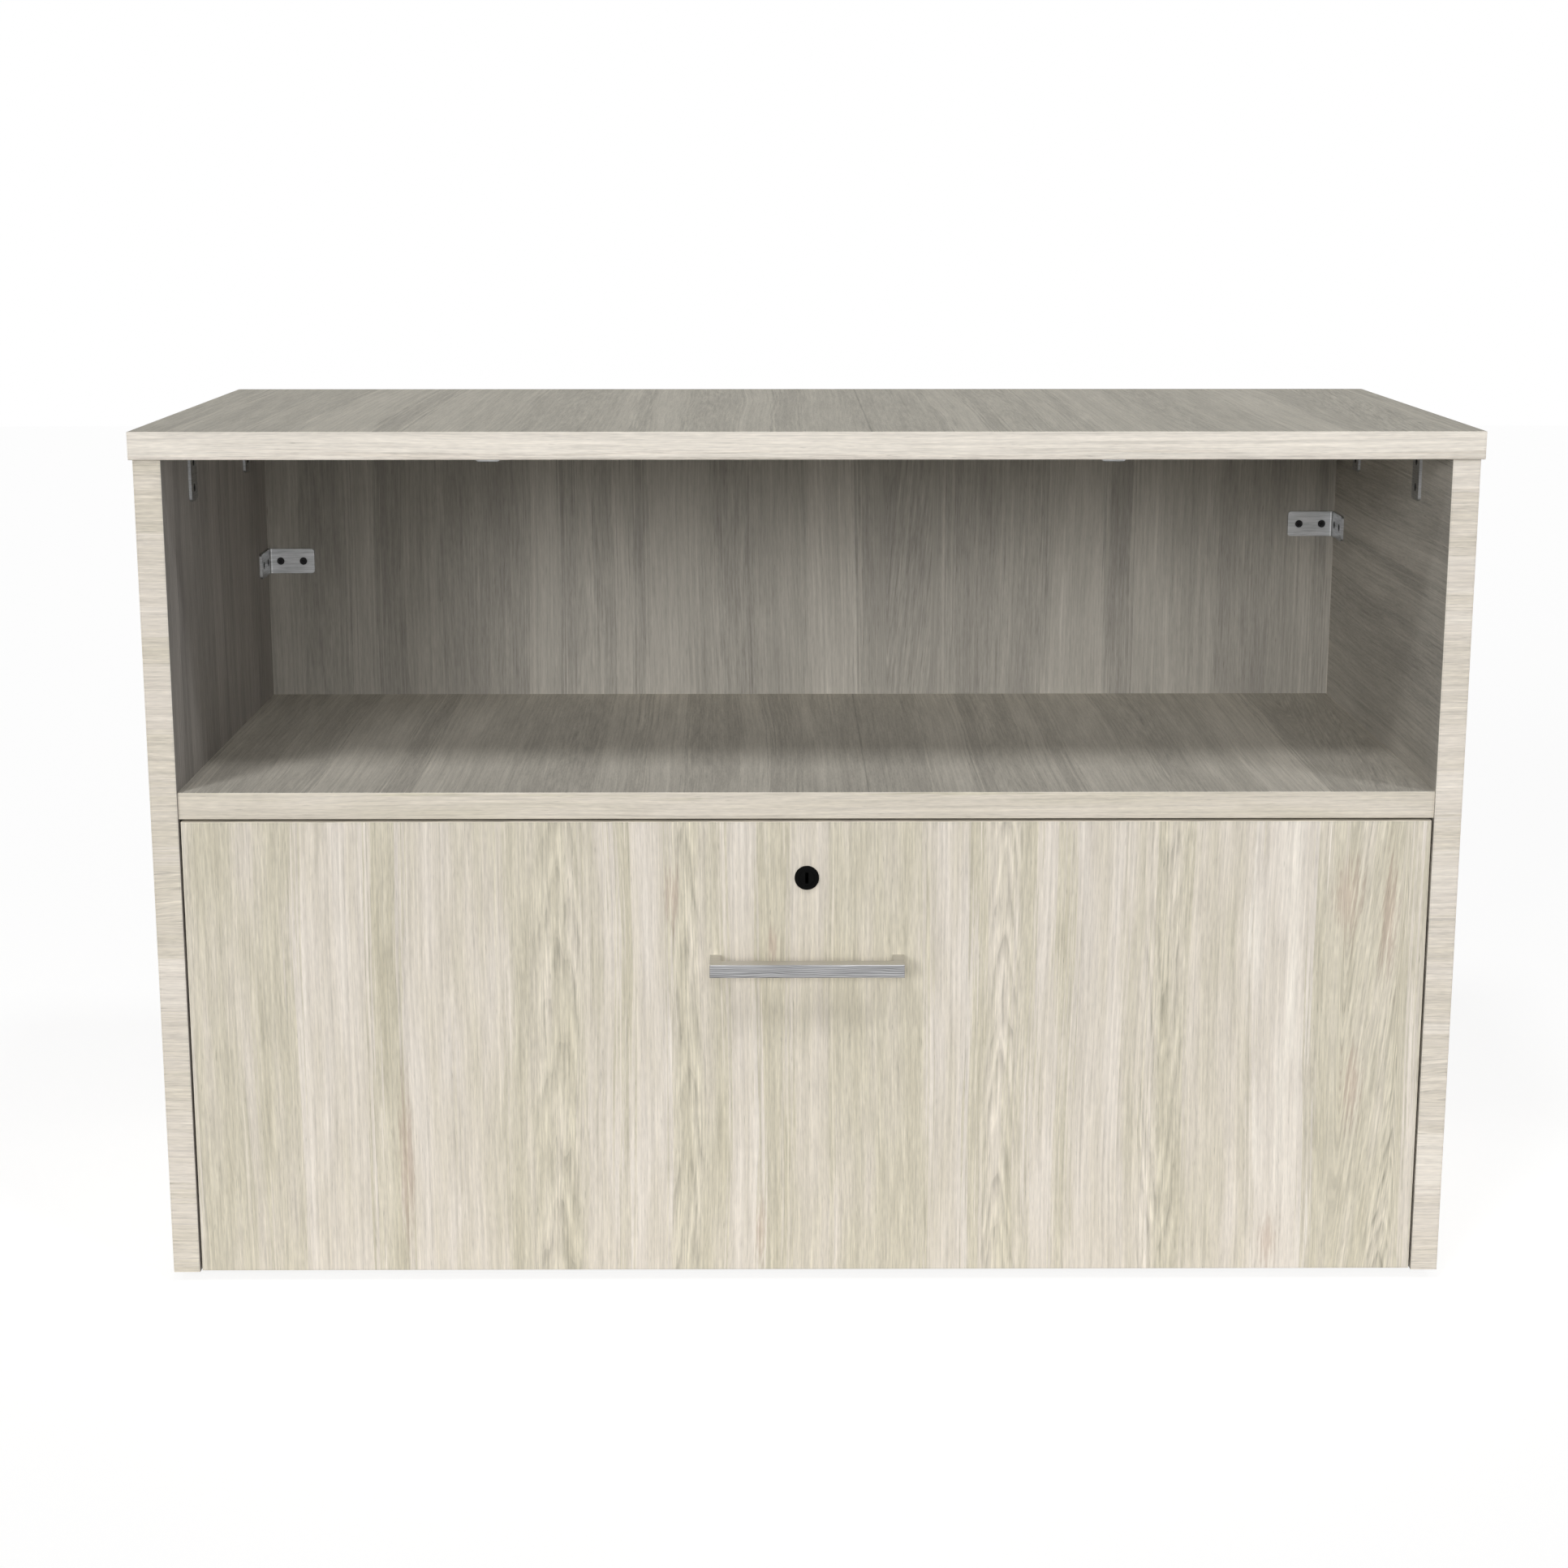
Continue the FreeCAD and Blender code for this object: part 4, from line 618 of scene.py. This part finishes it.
bracket_steel = brushed_metal(
    "bracket_steel", paint(150, 151, 152), paint(205, 206, 207), (60, 60, 1100), 0.42, 0.01 * MM
)
pull_steel = brushed_pull()
rail_aluminium = brushed_metal(
    "rail_aluminium", paint(196, 197, 198), paint(232, 233, 234), (6, 900, 900), 0.5, 0.01 * MM
)
slide_zinc = plated_metal("slide_zinc", paint(146, 150, 154), paint(206, 210, 213), 0.34)
cage_sheet = plated_metal("cage_sheet", paint(120, 122, 124), paint(176, 178, 180), 0.42)
ball_bearing = plated_metal("ball_bearing", paint(190, 191, 193), paint(226, 227, 228), 0.14)
screw_zinc = plated_metal("screw_zinc", paint(158, 157, 150), paint(212, 211, 205), 0.36)
lock_metal = plated_metal("lock_metal", paint(150, 150, 150), paint(204, 204, 204), 0.34)
# Black screw finish, partly painted shade: the dark heads stand in for the shade of open screw holes
screw_black = dull_coat("screw_black", paint(22, 22, 23), paint(52, 52, 53), 0.48, 900, 0.02 * MM)
lock_black = dull_coat("lock_black", paint(2, 2, 2), paint(9, 9, 9), 0.6, 1200, 0.01 * MM, 0.05)
glide_plastic = dull_coat("glide_plastic", paint(62, 61, 59), paint(92, 90, 87), 0.5, 700, 0.04 * MM)
box_melamine = melamine()
drawer_hardboard = hardboard()
dowel_beech = beech()

FINISHES = {
    bracket_steel: (
        "top_bracket_left_front", "top_bracket_left_rear", "top_bracket_right_front",
        "top_bracket_right_rear", "top_bracket_back_left", "top_bracket_back_right",
        "back_bracket_left", "back_bracket_right", "shelf_brackets", "bottom_brackets",
        "lower_back_brackets", "lock_strike",
    ),
    pull_steel: ("pull_handle",),
    rail_aluminium: ("front_hanging_rail", "rear_hanging_rail"),
    slide_zinc: (
        "left_slide_outer", "right_slide_outer", "left_slide_middle", "right_slide_middle",
        "left_slide_inner", "right_slide_inner",
    ),
    cage_sheet: (
        "left_outer_ball_cage", "right_outer_ball_cage", "left_inner_ball_cage", "right_inner_ball_cage",
    ),
    ball_bearing: ("outer_race_balls", "inner_race_balls"),
    lock_black: ("lock_housing", "lock_plug"),
    lock_metal: ("lock_nut", "lock_cam"),
    glide_plastic: ("floor_glides",),
    box_melamine: ("drawer_left_side", "drawer_right_side", "drawer_inner_front", "drawer_back"),
    drawer_hardboard: ("drawer_bottom",),
    dowel_beech: ("corner_dowels",),
}
for finish, pieces in FINISHES.items():
    for piece in pieces:
        wear(piece, finish)


# Screws with a cross recess in the head, all sizes in millimetres
SCREW_SIDES = 20
SCREW_POINT = 2.5
# The rim of a flat head is eased by this much across and down, and its flat starts further in
RIM_EASE = 0.12
RIM_FLAT = 0.28
# Rounding of a pan head, as shares of its radius and of its height from the flat down to its side
PAN_ROUNDING = ((0.8, 0.0), (0.93, 0.12), (1.0, 0.42))
# The floor of the recess, as a share of its opening
RECESS_FLOOR = 0.42
# Turn from one driven screw to the next, and the angle from which an edge stays sharp, in radians
DRIVEN_TURN = 2.4
SHARP_EDGE = math.radians(32)
# Corners closer than this are one, and corners this near an end belong to it, in metres
MERGE_REACH = 0.002 * MM
END_REACH = 0.01 * MM


def flat_head(head, shank, length):
    """Outline of a flat-head wood screw as radius and height, from the rim of the head to the point."""
    cone = (head - shank) / 2
    return (
        (head / 2 - RIM_FLAT, 0.0), (head / 2 - RIM_EASE, -RIM_EASE), (shank / 2, -cone),
        (shank / 2, -(length - SCREW_POINT)), (0.0, -length),
    )


def pan_head(head, height, shank, length, point):
    """Outline of a pan-head screw as radius and height, from the flat of the head down to its end."""
    rounding = [(share * head / 2, -drop * height) for share, drop in PAN_ROUNDING]
    return (
        *rounding, (head / 2, -height), (shank / 2, -height),
        (shank / 2, -(height + length - point)), (0.0, -(height + length)),
    )


def cross_head_screw(outline, reach, slot, depth):
    """One screw with the top of its head at the origin; reach, slot and depth size the cross recess."""
    shape = bmesh.new()
    corners = [shape.verts.new((radius * MM, 0.0, height * MM)) for radius, height in outline]
    lines = [shape.edges.new(ends) for ends in zip(corners, corners[1:])]
    bmesh.ops.spin(
        shape, geom=corners + lines, axis=(0, 0, 1), angle=2 * math.pi, steps=SCREW_SIDES, use_merge=True
    )
    bmesh.ops.remove_doubles(shape, verts=shape.verts, dist=MERGE_REACH)
    rim = [edge for edge in shape.edges if edge.is_boundary]

    # The recess starts as a grid of nine fields, whose inner lines close up to the width of the slot
    grid = bmesh.ops.create_grid(shape, x_segments=3, y_segments=3, size=reach / 2 * MM)
    fields = set(grid["verts"])
    for corner in fields:
        for axis in (0, 1):
            if abs(corner.co[axis]) < 0.4 * reach * MM:
                corner.co[axis] = math.copysign(slot / 2 * MM, corner.co[axis])
    border = [edge for edge in shape.edges if edge.is_boundary and fields.issuperset(edge.verts)]
    faces = [face for face in shape.faces if fields.issuperset(face.verts)]
    bmesh.ops.bridge_loops(shape, edges=rim + border)

    # The five fields that make a cross are pressed in
    cross = []
    for face in faces:
        middle = face.calc_center_median()
        if min(abs(middle.x), abs(middle.y)) < 0.1 * slot * MM:
            cross.append(face)
    pressed = bmesh.ops.extrude_face_region(shape, geom=cross)["geom"]
    bmesh.ops.delete(shape, geom=cross, context="FACES")
    floor = [part for part in pressed if isinstance(part, bmesh.types.BMVert)]
    bmesh.ops.translate(shape, vec=(0, 0, -depth * MM), verts=floor)
    bmesh.ops.scale(shape, vec=(RECESS_FLOOR, RECESS_FLOOR, 1), verts=floor)
    bmesh.ops.recalc_face_normals(shape, faces=shape.faces)
    mesh = bpy.data.meshes.new("cross_head_screw")
    shape.to_mesh(mesh)
    shape.free()
    return mesh


def screw_places(node):
    """Where each screw of a node sits: the top of its head, with Z pointing out of the head."""
    shape = bmesh.new()
    shape.from_mesh(nodes[node].data)
    bmesh.ops.remove_doubles(shape, verts=shape.verts, dist=MERGE_REACH)
    seen = set()
    places = []
    for start in shape.verts:
        if start in seen:
            continue
        seen.add(start)
        screw = [start]
        for corner in screw:
            for edge in corner.link_edges:
                other = edge.other_vert(corner)
                if other not in seen:
                    seen.add(other)
                    screw.append(other)
        places.append(head_place([corner.co.copy() for corner in screw]))
    shape.free()
    return places


def head_place(points):
    """The top of a screw's head, found from the points of its shape: the head is the wide end."""
    low = Vector(min(point[axis] for point in points) for axis in range(3))
    high = Vector(max(point[axis] for point in points) for axis in range(3))
    size = high - low
    middle = (low + high) / 2

    def unlike_others(axis):
        return abs(size[axis - 1] - size[axis]) + abs(size[axis - 2] - size[axis])

    along = max(range(3), key=unlike_others)
    widths = {}
    for way, end in ((-1, low[along]), (1, high[along])):
        offsets = [point - middle for point in points if abs(point[along] - end) < END_REACH]
        for offset in offsets:
            offset[along] = 0.0
        widths[way] = max(offset.length for offset in offsets)
    way = max(widths, key=widths.get)
    top = middle.copy()
    top[along] = (high if way > 0 else low)[along]
    out = Vector((0.0, 0.0, 0.0))
    out[along] = way
    return Matrix.Translation(top) @ out.to_track_quat("Z", "Y").to_matrix().to_4x4()


def drive_screws(node, body, finish, screw):
    """Put a cross-head screw in the place of each screw of a node, each stopped at a turn of its own."""
    whole = bmesh.new()
    for number, place in enumerate(screw_places(node)):
        placed = len(whole.verts)
        whole.from_mesh(screw)
        whole.verts.ensure_lookup_table()
        turned = place @ Matrix.Rotation(number * DRIVEN_TURN, 4, "Z")
        bmesh.ops.transform(whole, matrix=turned, verts=whole.verts[placed:])
    data = bpy.data.meshes.new("cross_head_" + node)
    whole.to_mesh(data)
    whole.free()
    data.shade_smooth()
    data.set_sharp_from_angle(angle=SHARP_EDGE)
    data.materials.append(finish)
    piece = bpy.data.objects.new("cross_head_" + node, data)
    bpy.context.scene.collection.objects.link(piece)
    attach(piece, body)
    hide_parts(node)


bracket_screw = cross_head_screw(flat_head(head=6.2, shank=3, length=14), reach=3.6, slot=0.95, depth=1.5)
sheet_screw = cross_head_screw(flat_head(head=5, shank=3, length=10), reach=2.8, slot=0.8, depth=0.9)
front_outline = pan_head(head=8, height=2, shank=3.5, length=26, point=SCREW_POINT)
front_screw = cross_head_screw(front_outline, reach=4.2, slot=1.1, depth=1.4)
handle_outline = pan_head(head=7.6, height=2.4, shank=4, length=26, point=0)
handle_screw = cross_head_screw(handle_outline, reach=4.0, slot=1.1, depth=1.6)
cam_outline = pan_head(head=8, height=2, shank=3, length=8, point=0)
cam_screw = cross_head_screw(cam_outline, reach=4.2, slot=1.1, depth=1.4)
drive_screws("bracket_screws", "carcass", screw_black, bracket_screw)
drive_screws("slide_outer_screws", "carcass", screw_zinc, sheet_screw)
drive_screws("strike_screws", "carcass", screw_zinc, sheet_screw)
drive_screws("slide_inner_screws", "drawer", screw_zinc, sheet_screw)
drive_screws("drawer_front_screws", "drawer", screw_zinc, front_screw)
drive_screws("handle_screws", "drawer", screw_zinc, handle_screw)
drive_screws("cam_screw", "lock_core", screw_zinc, cam_screw)


# Studio: a pale floor, an even sky and soft lamps
FLOOR_SIZE = 14.0
AMBIENT = 0.01
FLOOR_WHITE = paint(238, 238, 238)
FLOOR_GLOW = 0.84
FLOOR_SHADOW = 0.30
LAMP_GLOSS = 0.3
LAMP_DISTANCE = 3.0


def seen_directly(wires):
    """1 for rays from the camera and for those that metal or glass send on, and 0 for light."""
    path = wires.add("ShaderNodeLightPath").outputs
    straight = wires.math("MAXIMUM", path["Is Camera Ray"], path["Is Glossy Ray"])
    return wires.math("MAXIMUM", straight, path["Is Transmission Ray"])


def end_tree(wires, output_kind, for_light, for_eye):
    """End a tree with one shader for the light and another for what is seen directly."""
    switch = wires.add("ShaderNodeMixShader")
    wires.put(switch.inputs[0], seen_directly(wires))
    wires.put(switch.inputs[1], for_light.outputs[0])
    wires.put(switch.inputs[2], for_eye.outputs[0])
    output = wires.add(output_kind)
    wires.put(output.inputs["Surface"], switch.outputs[0])


def make_floor():
    """A pale floor that shows white to the camera and keeps a faint shadow."""
    shape = bmesh.new()
    bmesh.ops.create_grid(shape, x_segments=1, y_segments=1, size=FLOOR_SIZE / 2)
    mesh = bpy.data.meshes.new("studio_floor")
    shape.to_mesh(mesh)
    shape.free()
    floor = bpy.data.objects.new("studio_floor", mesh)
    bpy.context.scene.collection.objects.link(floor)
    material = bpy.data.materials.new("studio_floor")
    material.use_nodes = True
    material.node_tree.nodes.clear()
    wires = Wires(material.node_tree)
    matt = wires.add("ShaderNodeBsdfDiffuse")
    matt.inputs["Color"].default_value = FLOOR_WHITE
    glow = wires.add("ShaderNodeEmission")
    glow.inputs["Strength"].default_value = 1.0
    glow.inputs["Color"].default_value = (FLOOR_GLOW, FLOOR_GLOW, FLOOR_GLOW, 1.0)
    faint = wires.add("ShaderNodeBsdfDiffuse")
    faint.inputs["Color"].default_value = (FLOOR_SHADOW, FLOOR_SHADOW, FLOOR_SHADOW, 1.0)
    white = wires.add("ShaderNodeAddShader")
    wires.put(white.inputs[0], glow.outputs[0])
    wires.put(white.inputs[1], faint.outputs[0])
    end_tree(wires, "ShaderNodeOutputMaterial", matt, white)
    mesh.materials.append(material)


def make_sky():
    """An even grey sky that shows white to the camera."""
    world = bpy.data.worlds.new("studio_sky")
    world.use_nodes = True
    world.node_tree.nodes.clear()
    wires = Wires(world.node_tree)
    light = wires.add("ShaderNodeBackground")
    light.inputs["Strength"].default_value = AMBIENT
    white = wires.add("ShaderNodeBackground")
    for background in (light, white):
        background.inputs["Color"].default_value = (1.0, 1.0, 1.0, 1.0)
    end_tree(wires, "ShaderNodeOutputWorld", light, white)
    bpy.context.scene.world = world


def soft_lamp(name, side, height, share, spread):
    """A far, soft lamp: side is its angle from the front towards +X, height above the horizon, in degrees.

    share is the light that it throws on a surface facing it, as a part of plain daylight level.
    """
    lamp = bpy.data.lights.new(name, "SUN")
    lamp.energy = share * math.pi
    lamp.angle = math.radians(spread)
    lamp.specular_factor = LAMP_GLOSS
    rig = bpy.data.objects.new(name, lamp)
    turn = math.radians(side)
    rise = math.radians(height)
    towards = Vector((math.sin(turn) * math.cos(rise), -math.cos(turn) * math.cos(rise), math.sin(rise)))
    rig.rotation_mode = "QUATERNION"
    rig.rotation_quaternion = towards.to_track_quat("Z", "Y")
    rig.location = towards * LAMP_DISTANCE
    bpy.context.scene.collection.objects.link(rig)


make_floor()
make_sky()
soft_lamp("front_left_lamp", side=-26, height=13, share=0.32, spread=18)
soft_lamp("front_lamp", side=10, height=20, share=0.32, spread=45)
soft_lamp("high_left_lamp", side=-32, height=54, share=0.17, spread=9)
soft_lamp("high_right_lamp", side=48, height=56, share=0.145, spread=9)
soft_lamp("left_rear_lamp", side=-125, height=1.2, share=0.6, spread=3)
soft_lamp("right_rear_lamp", side=125, height=1.2, share=0.6, spread=3)


# Camera a little left of the middle, above the height of the top and tilted down
CAMERA_PLACE = (-26.1 * MM, -2007.85 * MM, 768.7 * MM)
CAMERA_TILT = 12.42
CAMERA_TURN = 0.32
CAMERA_LENS = 62.07


def make_camera():
    """The view of the photograph."""
    data = bpy.data.cameras.new("camera")
    data.sensor_width = 36.0
    data.lens = CAMERA_LENS
    camera = bpy.data.objects.new("camera", data)
    camera.location = CAMERA_PLACE
    camera.rotation_euler = (math.radians(90 - CAMERA_TILT), 0.0, -math.radians(CAMERA_TURN))
    bpy.context.scene.collection.objects.link(camera)
    bpy.context.scene.camera = camera


make_camera()
bpy.context.scene.view_settings.view_transform = "Standard"
